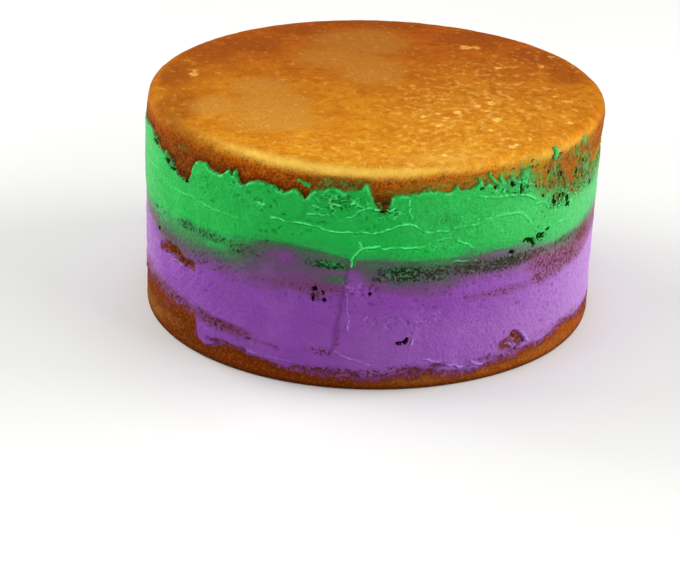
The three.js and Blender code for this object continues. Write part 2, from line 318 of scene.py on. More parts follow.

# Thin lines that the scraper left, each a rise, a half width and a path. Those with a
# rise under 0 are grooves. Narrow ones are also painted: a highlight along a ridge with shade
# below it, and shade along a groove
LINES = [
    (0.35, 0.45, [(-73, 76), (-68, 75.7), (-63, 75.6), (-61.2, 74), (-57.5, 73), (-54, 73),
                  (-50, 73), (-47, 73.9), (-45.4, 72.6), (-42, 72.6), (-38, 72), (-32, 71.9)]),
    (0.75, 0.45, [(-23.2, 75.9), (-22.2, 76.1), (-21, 75.6), (-19, 75.1), (-16, 75.4),
                  (-13, 75), (-11, 74.3), (-9.5, 73.6), (-6, 73.3), (-3, 73.7), (-0.2, 73.6)]),
    (0.6, 0.4, [(0.4, 73.4), (2.5, 74.2), (4, 75.4), (5.5, 76.9), (8, 77.7), (9.5, 77),
                (10.5, 75.8), (11.5, 74.3), (12.6, 73.5), (14, 73.1)]),
    (0.45, 0.38, [(14.8, 73.9), (16.4, 73.9), (17.6, 73.6)]),
    (0.35, 0.4, [(18.5, 74.8), (21, 74.8), (24, 75), (26.6, 76)]),
    (0.4, 0.42, [(27.4, 76.6), (31, 77.1), (34, 77.1), (36, 76.4), (37.5, 75), (38.7, 73),
                 (39.8, 70.6), (41, 68.4)]),
    (0.8, 0.64, [(-4.2, 58.6), (-4.1, 60.8), (-3.6, 63), (-2.8, 65), (-1.7, 66.6), (-0.2, 67.6),
                (2.1, 68)]),
    (0.45, 0.3, [(-2.5, 69.4), (-1.9, 67.4)]),
    (0.5, 0.36, [(2.5, 66.6), (4, 67), (5.4, 67.3), (8, 67), (10.4, 67.1), (12, 67.2)]),
    (0.35, 0.4, [(15, 69.8), (17, 70.4), (19, 69.6)]),
    (0.4, 0.4, [(20, 68.6), (21.6, 67.5), (22.8, 66.2), (23.8, 64.8)]),
    (0.9, 0.42, [(8.2, 86), (8.1, 88.4)]),
    (0.9, 0.42, [(8.9, 80.6), (8.3, 82.6), (8.4, 84.6)]),
    (0.5, 0.42, [(24.2, 88), (26, 87), (28, 86.3), (30.5, 85.7), (34, 85.1), (36, 84.7),
                 (38, 83.5), (39.6, 81.8), (41, 80.4)]),
    (0.45, 0.42, [(41, 78.4), (43.5, 78.1), (44.8, 76.4), (45.6, 74)]),
    (0.35, 0.36, [(18.6, 59.6), (20.5, 59.5), (22.5, 59), (25, 58.6)]),
    (0.8, 0.45, [(0.6, 83.9), (2, 83.6), (4, 84), (4.8, 84.8)]),
    (0.6, 0.4, [(-9.3, 86), (-8, 85.5), (-7, 85.4)]),
    (0.6, 0.4, [(-5, 88.6), (-3.8, 87.6), (-4.6, 86.7), (-3.3, 85.9), (-4, 85)]),
    (0.55, 0.38, [(-5.6, 79.8), (-4.2, 81), (-3.2, 83), (-1.8, 84.3), (0, 84.6)]),
    (0.4, 0.38, [(-13.5, 84.2), (-12, 83.3), (-10.5, 83.1)]),
    (0.45, 0.38, [(-15, 80), (-13, 80.3), (-11, 80.2)]),
    (0.6, 0.5, [(-26.6, 81.4), (-25.8, 80.8), (-24.8, 81.2)]),
    (-0.22, 0.8, [(-15.3, 86), (-15.5, 84), (-15.2, 81), (-16, 78.4), (-16.8, 76.2)]),
    (-0.5, 0.4, [(-9, 87.4), (-8, 88), (-7, 86.8), (-6, 87.6), (-5.4, 89.4)]),
    (0.3, 0.64, [(-5, 46), (-4.9, 41), (-4.5, 38), (-4.3, 35)]),
    (0.45, 0.62, [(-4.2, 33.6), (-4.3, 31), (-4.4, 29.5)]),
    (0.4, 0.45, [(-7.3, 19), (-5.5, 17), (-3, 15.5), (0, 13.8), (2, 13)]),
    (0.6, 0.4, [(13.2, 15.6), (15.6, 13.8), (18, 11.4), (21, 10.2), (22.4, 9.2), (23.4, 9)]),
    (0.25, 0.38, [(-31, 11.8), (-26, 11.3), (-20, 11), (-14.5, 11)]),
    (0.6, 0.4, [(25.6, 10.2), (27.2, 8.9), (29.4, 7.8)]),
    (0.6, 0.5, [(39.2, 19), (41, 15.8), (42.2, 12.6)]),
    (0.6, 0.45, [(34.5, 13), (35.4, 14.4), (36.3, 14.4), (37, 12.8)]),
    (0.9, 0.6, [(10.6, 25), (10.5, 22.8)]),
    (0.35, 0.45, [(50, 64.6), (52, 64.8), (54, 65.6), (57, 66.4)]),
    (0.45, 0.5, [(-62.6, 40.9), (-58, 39.6), (-54, 39.4), (-51.4, 38.8)]),
    (-0.2, 0.4, [(-33, 62.4), (-28, 64), (-22, 65), (-15, 64.8), (-9, 63.3), (-4.6, 60.5)]),
    (-0.36, 1.3, [(-5.2, 50), (-5.7, 46), (-6.1, 42), (-6.3, 36), (-6.9, 30), (-7.6, 19)]),
    (-0.4, 0.7, [(-4.7, 58), (-5.2, 54), (-5.5, 50)]),
    (-0.5, 0.45, [(38.2, 18.4), (39.6, 16.4), (41, 12.8)]),
]

# The second scraper pass starts at this upright line and lies below this level one
PASS_START = [
    (17, -7.6), (22, -7.1), (28, -7), (33, -6.6), (38, -5.9), (42, -5.6), (47, -5.5), (52, -4.6),
    (58, -4.2), (66, -2.6),
]
PASS_TOP = [
    (-8, 60), (-3.6, 62), (-2.2, 65.7), (-1.2, 67.2), (2, 67.7), (8, 66.6), (14, 68), (20, 69),
    (24, 64.4), (30, 62),
]
PASS_FADE = 70.0

# Holes torn in the icing: azimuth, height, half width, half height and depth
HOLES = [
    (2.5, 83.1, 1.3, 0.4, 1.6), (38.8, 62.3, 1.9, 0.8, 2), (40.2, 61.6, 1.5, 0.8, 2),
    (41, 60.4, 1.1, 1.5, 2), (41.3, 58.8, 0.9, 0.9, 1.8), (42.6, 61.6, 1, 0.8, 2),
    (43.8, 61, 1.4, 0.6, 2), (44.2, 62.4, 1.1, 0.7, 2), (42.8, 62.7, 0.9, 0.4, 1.6),
    (46, 64.2, 1, 0.6, 1.2), (34.6, 58.6, 1.1, 0.6, 1.6), (25.4, 90.2, 0.8, 0.6, 1.6),
    (28.9, 89.6, 0.8, 0.5, 1.6), (33.2, 90.3, 0.9, 1, 1.8), (36, 86.8, 0.5, 2.2, 1.2),
    (43.9, 80.2, 0.6, 0.6, 1.2), (48.2, 75.2, 1.5, 1.4, 2), (48.4, 78.4, 1.2, 0.9, 2),
    (51.2, 76.7, 2, 0.8, 1.6), (53.7, 73.4, 1, 2.2, 2), (54, 71, 1.8, 0.8, 1.8),
    (61.8, 80.4, 1.6, 1.2, 2), (58.4, 81.4, 1.9, 1.2, 2), (67.8, 73, 1.8, 0.9, 1.4),
    (61, 87.4, 1, 1.2, 1.4), (57.6, 84.6, 1, 1.4, 1.4), (41, 86.5, 0.5, 1.2, 1.4),
    (44.8, 91, 0.5, 1.8, 1.4), (50.2, 87.6, 0.9, 1.6, 1.4), (-66.2, 87.4, 2.6, 0.8, 1.8),
    (-58, 83.4, 1.8, 0.9, 1.6), (-55.6, 81.6, 1.6, 0.8, 1.5), (-49.4, 79.6, 1.4, 0.8, 1.4),
    (-65.8, 57.4, 1.8, 0.8, 1.2), (-64.6, 47.2, 1.6, 1.4, 1.2), (-12.5, 46.6, 0.9, 0.9, 1.5),
    (-12.6, 43, 0.6, 1.4, 1.6), (-10.4, 45, 0.5, 0.9, 1.3), (-10.1, 41.6, 0.5, 0.8, 1.2),
    (-11.5, 41.4, 0.9, 0.35, 1.1), (0.3, 46.2, 0.6, 0.8, 1.3), (7.4, 23.2, 1.4, 0.6, 1.6),
    (8.7, 23.6, 1.1, 1, 1.6), (9.1, 24.6, 0.6, 1.5, 1.6), (37.2, 18.8, 1.6, 1.2, 2),
]

# How deep small scattered pits are, how wide, and how far apart their clusters lie
PIT_DEPTH = 0.8
PIT_SIZE = 1.3
PIT_CLUSTER = 11.0

# Strips torn down to the crust, each a half width and a path
TORN_STRIPS = [
    (1.4, [(-62.4, 40), (-61, 41.4), (-59.4, 42.8), (-57.4, 44.2), (-55.4, 44.9), (-53.8, 44.4),
           (-52.6, 43), (-51, 42.2), (-48.6, 41.9), (-46.8, 41.3)]),
    (1.7, [(-60, 41.6), (-57.4, 42.2), (-54.6, 42.2), (-52, 41.4), (-49.4, 41)]),
    (1.4, [(37.3, 18), (38.2, 16.2), (39.6, 13.6)]),
]

# Where bare crust shows bright inside those strips: azimuth, height, half widths, amount
TORN_ZONES = [(-57, 44, 6, 3, 1), (-48, 42, 5, 2.4, 0.4), (38.6, 15, 4, 4, 0.8)]

# Bands of specks where the icing is scraped thin, each an amount, a half width and a path
WORN_LINES = [
    (0.3, 4.2, [(-49, 20.6), (-45, 21), (-41, 20.4), (-37, 19.4), (-33, 18.4), (-29, 17.4)]),
    (0.26, 2.2, [(-30, 17.6), (-25, 17), (-21, 15.6)]),
    (0.4, 1.6, [(-41, 10.4), (-36, 11.4), (-30, 10.6)]),
    (0.4, 1.8, [(-17, 8), (-12, 8.4), (-7, 7.8), (-2, 8)]),
]

# Zones of such specks: azimuth, height, half widths, amount
WORN_ZONES = [
    (10, 9.6, 4.4, 2.2, 0.44), (17, 11, 3, 1.4, 0.4), (35.2, 14.2, 3.2, 4.2, 0.46),
    (37.4, 9.4, 4, 3.4, 0.34), (49, 77, 3, 2.6, 0.4), (53, 76, 6, 4, 0.3), (44, 82, 3, 3, 0.35),
    (60, 81, 7, 4, 0.46), (59, 76.5, 8, 4.6, 0.42), (-50, 81.4, 3, 1.6, 0.3), (-57, 85, 3, 1.6, 0.34),
    (-65, 87, 3, 1.6, 0.34), (29, 10, 3, 1.6, 0.3), (-60, 22, 14, 2.4, 0.3),
]

# The torn and scratched patch of the crust's side, as azimuth, height and half widths
ROUGH_PATCH = (56, 86, 17, 15)

# Places on the crust's side in the shade of thick icing: azimuth, height, half widths, amount
SHADE_ZONES = [
    (2.2, 86.4, 2.8, 4.6, 1), (3.2, 87, 1.4, 3, 1), (-31.6, 89, 1.6, 1.8, 0.8),
    (-33.3, 90.8, 1, 1.6, 0.8), (-21.2, 88.6, 1.2, 1.4, 0.8), (-15.7, 88, 1.4, 1.8, 0.7),
    (-51, 81.8, 4.4, 2.6, 0.8), (-64, 88.8, 1.6, 2.4, 0.8), (-57, 86, 2.6, 1.8, 0.8),
    (-47.9, 86, 1, 4, 0.7), (-39.4, 90.8, 2.4, 1.2, 0.5), (22, 92, 5, 1.8, 0.2),
    (31.8, 92.8, 1, 1.4, 0.6), (45.8, 93.4, 0.6, 3, 0.7), (49.6, 88, 0.9, 2.4, 0.6),
]

# Zones of crinkled icing: azimuth, height, half widths, amount
CRINKLE_ZONES = [
    (-7, 85, 8, 6.5, 0.9), (34, 89, 9, 5, 0.8), (55, 75, 13, 6, 0.8), (20, 77, 13, 7, 0.32),
    (5, 82, 6, 5, 0.7), (-40, 85, 9, 5, 0.35), (-57, 83, 6, 4, 0.7), (-25, 79, 4, 4, 0.5),
    (8, 34, 15, 5, 0.5), (-4, 50, 3, 6, 0.5), (17, 68, 8, 4, 0.4), (54, 46, 10, 6, 0.4),
    (30, 55, 12, 3, 0.35), (-60, 20, 18, 4, 0.4), (36, 10, 5, 4, 0.5),
]

# Scraps of icing left on the bare crust: azimuth, height, half widths, amount
GREEN_SCRAPS = [
    (-51.6, 92.8, 2.6, 2, 0.44), (-76, 91, 5, 2.4, 0.3), (-39.5, 91.6, 3, 1.4, 0.3),
    (-9, 94.4, 7, 3, 0.46), (-3, 94.8, 4, 2.4, 0.42), (1.4, 86, 1.4, 1.6, 0.46),
    (3.4, 87.6, 1.6, 2, 0.46), (13, 93.4, 8, 2.2, 0.38), (25, 94, 6, 3, 0.36), (34, 95, 7, 3.2, 0.44),
    (57, 95, 3.4, 3.4, 0.4), (61, 95.6, 4, 4.6, 0.46), (47.2, 91, 1.8, 8, 0.6), (60, 92, 5, 7, 0.42),
    (43, 93, 5, 6, 0.36), (37, 93, 3, 5, 0.6), (66, 84, 6, 5, 0.36), (5, 91, 5, 2, 0.34),
]
PURPLE_SCRAPS = [(-60.5, 13.4, 2.4, 3, 0.36), (-45.6, 9.4, 1.4, 2, 0.4), (80, 7, 10, 2.4, 0.3)]

# Single strips of icing on the crust, each a height, a half width and a path
GREEN_STRIPS = [
    (1.1, 0.85, [(-17, 93.8), (-16, 92.9), (-14.8, 91.9)]),
    (1, 0.6, [(27, 96.6), (27.1, 95), (27.9, 93.2), (29.4, 91.6), (31, 90.6)]),
    (0.8, 1.3, [(47.7, 99.4), (47.4, 97.8), (47.1, 96.4)]),
    (0.6, 0.8, [(30.1, 94.8), (30.2, 93.6), (30.8, 92)]),
    (0.6, 0.7, [(24.3, 95.2), (24.6, 94.2), (25.2, 93)]),
    (0.6, 0.6, [(60.6, 98.6), (60, 96.4)]),
]

# Brown stains in the smeared icing: azimuth, height, half widths, amount
STAINS = [
    (34, 54.4, 12, 3.2, 0.8), (24, 56.4, 7, 3.4, 0.62), (14, 55, 7, 3, 0.3), (1.7, 52.8, 1.4, 0.8, 0.9),
    (-4.6, 53.4, 3, 1.6, 0.2), (57, 45.4, 4, 3.6, 0.3), (53, 55, 9, 3.2, 0.42), (66, 76, 10, 5, 0.7),
    (56, 82, 9, 6, 0.55), (45, 85, 5, 5, 0.35), (58, 52.4, 7, 5, 0.46), (68, 54, 8, 6, 0.3),
]

# Dusky red parts of the purple band: azimuth, height, half widths, amount
DUSK_ZONES = [
    (50, 46, 9, 8, 0.56), (45, 49, 6, 6, 0.45), (58, 47, 9, 8, 0.72), (67, 49, 10, 8, 0.86),
    (78, 50, 12, 8, 0.6), (34, 41.2, 14, 2.6, 0.3), (-68, 22.5, 26, 4.2, 0.5), (-38, 19.8, 12, 3, 0.4),
    (-14, 47.6, 10, 4, 0.3), (40, 53.6, 8, 2.4, 0.4), (-70, 51, 8, 3, 0.3),
]

# Zones of crumbs: azimuth, height, half widths in degrees and millimetres, amount, redness
CRUMB_ZONES = [
    (8, 55.4, 7.6, 4.8, 1, 0), (15, 54.8, 6, 4.6, 0.9, 0.1), (33, 54.6, 12, 4.4, 1, 0.15),
    (24, 55.6, 7, 4.4, 0.9, 0.2), (42, 54.6, 6, 3, 0.9, 0.6), (52, 46, 9, 8, 0.95, 1),
    (57, 45, 5, 6, 1.1, 1), (64, 51, 7, 5, 1, 1), (45, 42.6, 5, 5, 0.85, 1), (63, 43, 5, 5, 0.8, 1),
    (54, 54.4, 8, 2.6, 0.8, 0.2), (-49, 59.6, 5, 3.2, 0.8, 0), (-31, 58, 7, 3.6, 0.6, 0.2),
    (-40, 59.6, 6, 3.2, 0.75, 0), (-9.6, 58.2, 6.4, 2.8, 0.84, 0), (45, 49, 6, 5, 0.8, 1),
    (-60, 21.4, 16, 3.4, 0.7, 1), (2, 53, 2.4, 1.4, 0.9, 0.1), (-5, 8.8, 16, 3, 0.8, 0.9),
    (-6.8, 24, 1, 7, 0.56, 1), (10, 10.2, 9, 3.4, 0.6, 0.9), (28, 9.6, 8, 3, 0.4, 0.9),
    (35, 12, 3.6, 5, 0.3, 1), (62, 77, 11, 5, 0.6, 0.1), (55, 13.5, 16, 2.4, 0.5, 1),
    (33, 41.4, 12, 2.4, 0.5, 0.9), (-48, 44.5, 5, 2.6, 0.4, 1), (-12.4, 45, 2.4, 4, 0.6, 0.7),
    (-10.5, 17.8, 4.6, 2.8, 0.66, 1), (-60, 48.4, 12, 3, 0.6, 0.9), (43, 60.6, 4, 3, 0.5, 0),
    (-16, 47, 12, 3, 0.4, 0.8), (17, 78.6, 5, 3.4, 0.36, 0), (-7, 87, 7, 5, 0.5, 0),
    (35, 88, 8, 6, 0.5, 0), (-65.6, 88, 3, 2.4, 0.9, 0), (-57, 83.6, 4, 2.2, 0.9, 0),
    (-51, 80.2, 3.4, 1.8, 0.9, 0), (3, 83.4, 3.4, 2, 0.8, 0), (50, 75.6, 7, 4.4, 0.7, 0),
    (-38, 19.2, 12, 3.2, 0.75, 1), (52, 85, 9, 6, 0.7, 0.1),
]

# Shares of purple at the smear's lines, how far outside them it turns clean, and the
# place where the lines stay calm
SMEAR_SHARES = (0.0, 0.15, 0.4, 0.6, 0.85, 1.0)
SMEAR_CLEAN = 4.0
CALM_SMEAR = (-17, 63, 16, 5)

# Patches where the icing is painted paler, as a sheen toward the light: amount, and the
# heights, first azimuths and last azimuths over which each of them begins
PALE_PATCHES = [(0.16, (42, 24), (-8, 2), (56, 36)), (0.13, (62, 72), (2, 14), (50, 36))]
DEEP_PATCH = (68, 51, 14, 10)

# Where the smeared zone leans to one colour: azimuth, height, half widths, shift to purple
SMEAR_SHIFTS = [
    (-8, 51.8, 4.4, 2.2, -0.3), (-9, 55.2, 4, 1.2, 0.2), (-11.5, 44, 2, 3.4, -0.1),
    (30, 59.6, 7, 2.2, 0.16), (7, 60.6, 10, 1.2, 0.16), (54, 52.6, 3, 1.6, -0.1),
    (-64.5, 48, 3, 2.4, -0.2), (-20, 59, 4, 4, 0.2), (-40, 56.4, 5, 2, -0.12), (-4, 60.4, 0.9, 3, -0.5),
    (-8.4, 57.8, 5, 2.4, -0.26),
]

# Tan, dark and pale zones on the top: x, y, half widths and, for pale ones, amount
TAN_SPOTS = [
    (-8, 62, 30, 26), (-18, 38, 24, 20), (-2, 18, 18, 26), (-52, -8, 17, 16), (-48, -32, 23, 20),
    (-45, -52, 25, 17), (-70, -36, 14, 16),
]
DARK_SPOTS = [
    (50, 74, 26, 14), (74, 48, 16, 16), (-60, 56, 18, 16), (-80, 38, 15, 18), (-36, 80, 20, 12),
    (0, 92, 40, 9), (-92, 4, 9, 26), (88, 22, 10, 16), (-86, -38, 14, 26),
]
PALE_SPOTS = [
    (43.5, 58.5, 3.6, 4.6, 0.9), (48.5, 60, 2.6, 3.6, 0.8), (83, 48, 2.6, 4, 0.6),
    (77, 34, 1.6, 5, 0.8), (57, 29, 3, 2.6, 0.8), (42, 29.5, 2.5, 2, 0.7), (39, 4, 2.6, 6, 0.6),
    (46, 6.5, 2.6, 3, 0.6), (77.5, 2, 1.6, 3, 0.9), (81.5, -7, 1.8, 3, 0.7), (43, -8, 2, 3, 0.7),
    (32.5, -11, 2.6, 2, 0.6), (50.5, -13, 1.3, 2.6, 0.7), (51.5, -22, 2.7, 4, 1), (45, -27, 2, 4, 0.9),
    (86, -15, 3, 4, 0.7), (19, -34, 3, 3, 0.7), (35.5, -35, 2.5, 3.6, 1), (28, -37, 2.6, 2, 0.7),
    (49.5, -33, 3.6, 2.6, 0.7), (53, -43, 3.2, 4, 1), (21, -42.5, 2.1, 2.6, 0.8),
    (30, -44, 2.1, 4, 0.8), (84, -42.5, 2.7, 3, 0.8), (28, -52, 3.2, 2.6, 0.95),
    (49.5, -57, 2.3, 2.3, 0.8), (58, -74.5, 3.2, 3.2, 1), (42.5, -74.5, 2.6, 3, 0.7),
    (55, -64, 2.4, 2.6, 0.6), (65.5, -66, 1.3, 2.6, 0.7), (29, -88, 1.2, 4, 0.9),
    (52, -92, 1.6, 3, 0.6), (-84, 8, 2.9, 8, 0.75),
]

# Where pale flecks are dense on the top: x, y, half widths and amount
FLECKED_SPOTS = [(45, -30, 48, 60, 1), (5, -85, 60, 30, 0.7), (60, 35, 40, 30, 0.5)]

# The pale strip along the rim, partly paler crust and partly a painted highlight: azimuth,
# place down the rounded edge, and strength
RIM_STRIP = [
    (-180, 3.5, 0.2), (-120, 3, 0.15), (-80, 1.5, 0), (-56, 1.6, 0.04), (-46, 2.2, 0.14),
    (-40, 2.8, 0.35), (-34, 3.6, 0.75), (-28, 4, 0.95), (-20, 4.6, 1), (-10, 5.4, 1), (0, 5.5, 1),
    (8, 5.2, 0.85), (14, 4.6, 0.7), (20, 4.6, 0.42), (27, 6, 0.1), (34, 6.6, 0.2), (45, 6.8, 0.55),
    (60, 6.8, 0.2), (75, 5, 0), (110, 3.4, 0.2), (150, 3.2, 0.1), (180, 3.5, 0.2),
]

# The strip's half width, and how much wider it is where it is strong
STRIP_WIDTH = 1.7
STRIP_WIDER = 0.6

# A painted highlight on the rim: strength, azimuth and half width, place down the edge and
# half width
RIM_HIGHLIGHT = (0.4, 17.0, 10.0, -2.0, 7.0)

# How far the foot spreads past the round shape, by azimuth
FOOT_SPREAD = [
    (-180, 0), (-110, 0), (-80, 0.3), (-50, 0.8), (-20, 0.6), (0, 0.4), (20, 0.6), (50, 1.4), (80, 0.6),
    (110, 0), (180, 0),
]

# Golden places low on the crust's side: azimuth, height, half widths, amount
GOLD_ZONES = [
    (-68, 6.4, 9, 4.4, 0.6), (-57, 8.4, 6, 3, 0.45), (-78, 5, 8, 6, 0.5), (18, 5, 16, 2.6, 0.5),
    (50, 5, 16, 3, 0.2),
]

# Depth in millimetres down the edge and side over which the crust's colour changes
SIDE_RAMP = 40.0


# Noise and places on the cake

def smooth(low, high, value):
    """0 at low and 1 at high, with an easy curve between them."""
    t = np.clip((value - low) / (high - low), 0.0, 1.0)
    return t * t * (3.0 - 2.0 * t)


def hill(value, middle, half_width):
    """1 at the middle, falling off softly to both sides."""
    return np.exp(-(((value - middle) / half_width) ** 2))


def lattice_value(x, y, z):
    """A scattered value from 0 to 1 at each whole place."""
    h = (x * SCATTER[0] + y * SCATTER[1] + z * SCATTER[2] + SEED) & WORD
    h = ((h ^ (h >> 13)) * SCATTER_AGAIN) & WORD
    return (h ^ (h >> 16)) / WORD


def noise(x, y, z):
    """Smooth noise from -1 to 1, with hills about one unit wide."""
    x, y, z = np.broadcast_arrays(x, y, z)
    cells = [np.floor(v).astype(np.int64) for v in (x, y, z)]
    parts = [smooth(0.0, 1.0, v - c) for v, c in zip((x, y, z), cells)]
    total = np.zeros(x.shape)
    for corner in range(8):
        step = (corner & 1, (corner >> 1) & 1, corner >> 2)
        weight = 1.0
        for part, s in zip(parts, step):
            weight = weight * (part if s else 1.0 - part)
        total += weight * lattice_value(*(c + s for c, s in zip(cells, step)))
    return 2.0 * total - 1.0


def level_place(azimuth, radius):
    """x and y at that azimuth and distance from the axis."""
    turn = np.radians(azimuth)
    return radius * np.sin(turn), -radius * np.cos(turn)


def side_noise(azimuth, height, size, layer, stretch=1.0):
    """Noise on the cake's side, with hills of that size, and stretch times as long."""
    x, y = level_place(azimuth, CAKE_RADIUS / (size * stretch))
    return noise(x + layer * LAYER_STEP, -y, height / size)


def top_noise(x, y, size, level, shift=0.0):
    """Noise on the cake's top, with hills of that size."""
    return noise(x / size, y / size + shift, level)


def value_at(table, azimuth, column=1):
    """A column's value at each azimuth round the cake, straight between the table's rows."""
    at, values = zip(*((row[0], row[column]) for row in table))
    return np.interp(azimuth, at, values, period=360.0)


def settle(x, y, z):
    """Puts points of the upright round shape on the real one, which leans and slopes."""
    share = z / CAKE_HEIGHT
    return np.stack([x + LEAN * (share - LEAN_PIVOT), y, z + share * TOP_TILT * x], axis=-1)


def on_cylinder(azimuth, radius, z):
    """The settled place at that azimuth, distance from the axis and height."""
    return settle(*level_place(azimuth, radius), z)


# Relief of the crust and the icing

def turned(azimuth):
    """How far a place is turned to the left, and to the right, of the side that shows."""
    return [smooth(*SIDE_BEGINS, side) * (1.0 - smooth(*SIDE_ENDS, side)) for side in (-azimuth, azimuth)]


def crust_relief(azimuth, z):
    """How far the crust's side stands out from its round shape."""
    left, right = turned(azimuth)
    waist = WAIST_RIGHT * right * smooth(*WAIST_RIGHT_BEGINS, z) * smooth(*WAIST_RIGHT_ENDS, z)
    waist = waist + WAIST_LEFT * left * smooth(*WAIST_LEFT_BEGINS, z) * smooth(*WAIST_LEFT_ENDS, z)
    waist = waist + RIM_IN_LEFT * left * smooth(*RIM_IN_BEGINS, z)
    spread = value_at(FOOT_SPREAD, azimuth) * smooth(*FOOT_SPREAD_BEGINS, z)
    wave = CRUST_WAVE * side_noise(azimuth, z, CRUST_WAVE_LENGTH, 0)
    return np.clip(z / FOOT_FADE, 0.0, 1.0) * wave - waist + spread


def crust_grain(azimuth, radius, z):
    """Fine relief of the baked surface, faded out at the floor."""
    x, y = level_place(azimuth, radius)
    grain = sum(rise * noise(x / size + shift, y / size, z / size) for rise, size, shift in CRUST_GRAIN)
    rough = spot(azimuth, z, *ROUGH_PATCH) * (z < CAKE_HEIGHT)
    grain = grain + rough * ROUGH_RISE * (side_noise(azimuth, z * 0.4, 2.0, 33) - 0.5)
    return grain * smooth(*GRAIN_BEGINS, z)


def crust_side(azimuth, z):
    """Distance from the axis to the crust's side, with and without its grain."""
    over = np.clip((z - CAKE_HEIGHT + TOP_ROUND) / TOP_ROUND, 0.0, 1.0)
    radius = CAKE_RADIUS - TOP_ROUND * (1.0 - np.sqrt(1.0 - over ** 2))
    plain = radius + crust_relief(azimuth, z)
    return plain, plain + crust_grain(azimuth, radius, z)


def beside_path(azimuth, height, path, reach):
    """Which places are near a path and, for those, how far they are from it, 1 at the left
    of its course and -1 at the right, and how far they are past its ends."""
    around = azimuth * MM_PER_DEGREE
    xs, zs = np.array(path, dtype=float).T * [[MM_PER_DEGREE], [1.0]]
    near = (around > xs.min() - reach) & (around < xs.max() + reach)
    near &= (height > zs.min() - reach) & (height < zs.max() + reach)
    u, v = around[near], height[near]
    best, side, past = np.full(u.shape, FAR), np.ones(u.shape), np.zeros(u.shape)
    for k, (x0, z0, dx, dz) in enumerate(zip(xs, zs, np.diff(xs), np.diff(zs))):
        length = math.hypot(dx, dz)
        along = ((u - x0) * dx + (v - z0) * dz) / length
        t = np.clip(along / length, 0.0, 1.0)
        off = np.hypot(u - x0 - t * dx, v - z0 - t * dz)
        over = np.maximum(-along if k == 0 else 0.0, along - length if k == len(xs) - 2 else 0.0)
        left = np.where(dx * (v - z0) > dz * (u - x0), 1.0, -1.0)
        closer = off < best
        best = np.where(closer, off, best)
        side = np.where(closer, left, side)
        past = np.where(closer, np.maximum(over, 0.0), past)
    return near, best, side, past


def path_distance(azimuth, height, path, reach):
    """Distance in millimetres from each place to a path, and large beyond reach."""
    distance = np.full(azimuth.shape, FAR)
    near, best = beside_path(azimuth, height, path, reach)[:2]
    distance[near] = best
    return distance


def line_field(azimuth, height):
    """Rise of drawn lines over the icing, and how strongly each place near one is painted with
    highlight, or with shade where that is below 0, together with its distance to it, which is
    positive to the left of the path's course."""
    rise, mark = np.zeros(azimuth.shape), np.zeros(azimuth.shape)
    distance = np.full(azimuth.shape, LINE_REACH)
    for size, half_width, path in LINES:
        near, best, side, past = beside_path(azimuth, height, path, LINE_REACH)
        shape = size * hill(best, 0.0, half_width)
        rise[near] = np.where(np.abs(shape) > np.abs(rise[near]), shape, rise[near])
        taken = best < np.abs(distance[near])
        strength = size * np.clip(1.0 - past / LINE_END, 0.0, 1.0) * (half_width < SOFT_LINE)
        mark[near] = np.where(taken, strength, mark[near])
        distance[near] = np.where(taken, best * side, distance[near])
    return rise, mark, distance


def spot(u, v, at_u, at_v, half_u, half_v, fade=SIDE_SPOT_FADE):
    """1 in the middle of an oval spot, 0 outside it. On the side u is azimuth and v height."""
    return 1.0 - smooth(*fade, np.hypot((u - at_u) / half_u, (v - at_v) / half_v))


def wobble(azimuth, height):
    """The same places moved a little, so that drawn lines and spots look torn by hand."""
    moved_a = azimuth + 0.3 * side_noise(azimuth, height, 2.2, 5)
    moved_z = height + 0.45 * side_noise(azimuth, height, 2.0, 6)
    return moved_a, moved_z


def second_pass(azimuth, height):
    """1 where the scraper's second pass left its layer, fading to the right."""
    past = (azimuth - np.interp(height, *zip(*PASS_START))) * MM_PER_DEGREE
    past = past + 0.5 * side_noise(azimuth, height, 2.4, 38)
    past = past + 0.35 * side_noise(azimuth, height, 1.1, 39)
    below = np.interp(azimuth, *zip(*PASS_TOP)) - height
    fade = 1.0 - smooth(0.35 * PASS_FADE, PASS_FADE, past)
    return smooth(-0.4, 0.5, past) * smooth(-0.4, 0.5, below) * fade


def zone_amount(u, v, zones, fade=SIDE_SPOT_FADE):
    """The largest amount of the oval zones at each place. An amount left out is 1."""
    return np.max([math.prod(zone[4:]) * spot(u, v, *zone[:4], fade) for zone in zones], axis=0)


def hole_depth(azimuth, height):
    """How far inside a deep hole's outline each place is, negative outside, and the depth of
    the deep and shallow holes there."""
    deep = np.full(azimuth.shape, -2.0)
    pits = smooth(0.5, 0.75, side_noise(azimuth, height, PIT_SIZE, 36))
    depths = PIT_DEPTH * pits * smooth(-0.1, 0.5, side_noise(azimuth, height, PIT_CLUSTER, 37))
    ragged = 0.3 * side_noise(azimuth, height, 1.1, 8)
    for at, up, half_width, half_height, depth in HOLES:
        off = np.hypot((azimuth - at) * MM_PER_DEGREE / half_width, (height - up) / half_height)
        here = (1.0 - off) * min(half_width, half_height) + ragged
        depths = np.maximum(depths, depth * smooth(-0.35, 0.35, here))
        if depth > DEEP_HOLE:
            deep = np.maximum(deep, here + 0.1)
    return deep, depths


def skin_marks(azimuth, height):
    """The icing's lines and holes: their relief in millimetres and the paints for them, among
    them painted highlight and painted shade.
    """
    a, z = wobble(azimuth, height)
    uneven = 0.85 + 0.7 * side_noise(azimuth, height, 3.0, 7)
    rise, mark, distance = line_field(a, z)
    deep, depths = hole_depth(a, z)
    broken = uneven * (1.0 + 0.7 * side_noise(azimuth, height, 1.4, 34))
    # Paints here include shade painted into grooves and shallow holes, the strength of the highlight or
    # shade painted along lines, and how far inside a deep hole, which is painted dark as shade
    return rise * uneven - depths, {
        "line": distance,
        "dent": np.clip(-rise / 0.5 + 0.35 * depths * (deep < 0.0), 0.0, 1.0),
        "mark": np.clip(mark / 0.6, -1.3, 1.3) * np.clip(broken, 0.0, 1.0),
        "curls": zone_amount(azimuth, height, CRINKLE_ZONES),
        "hole": deep,
    }


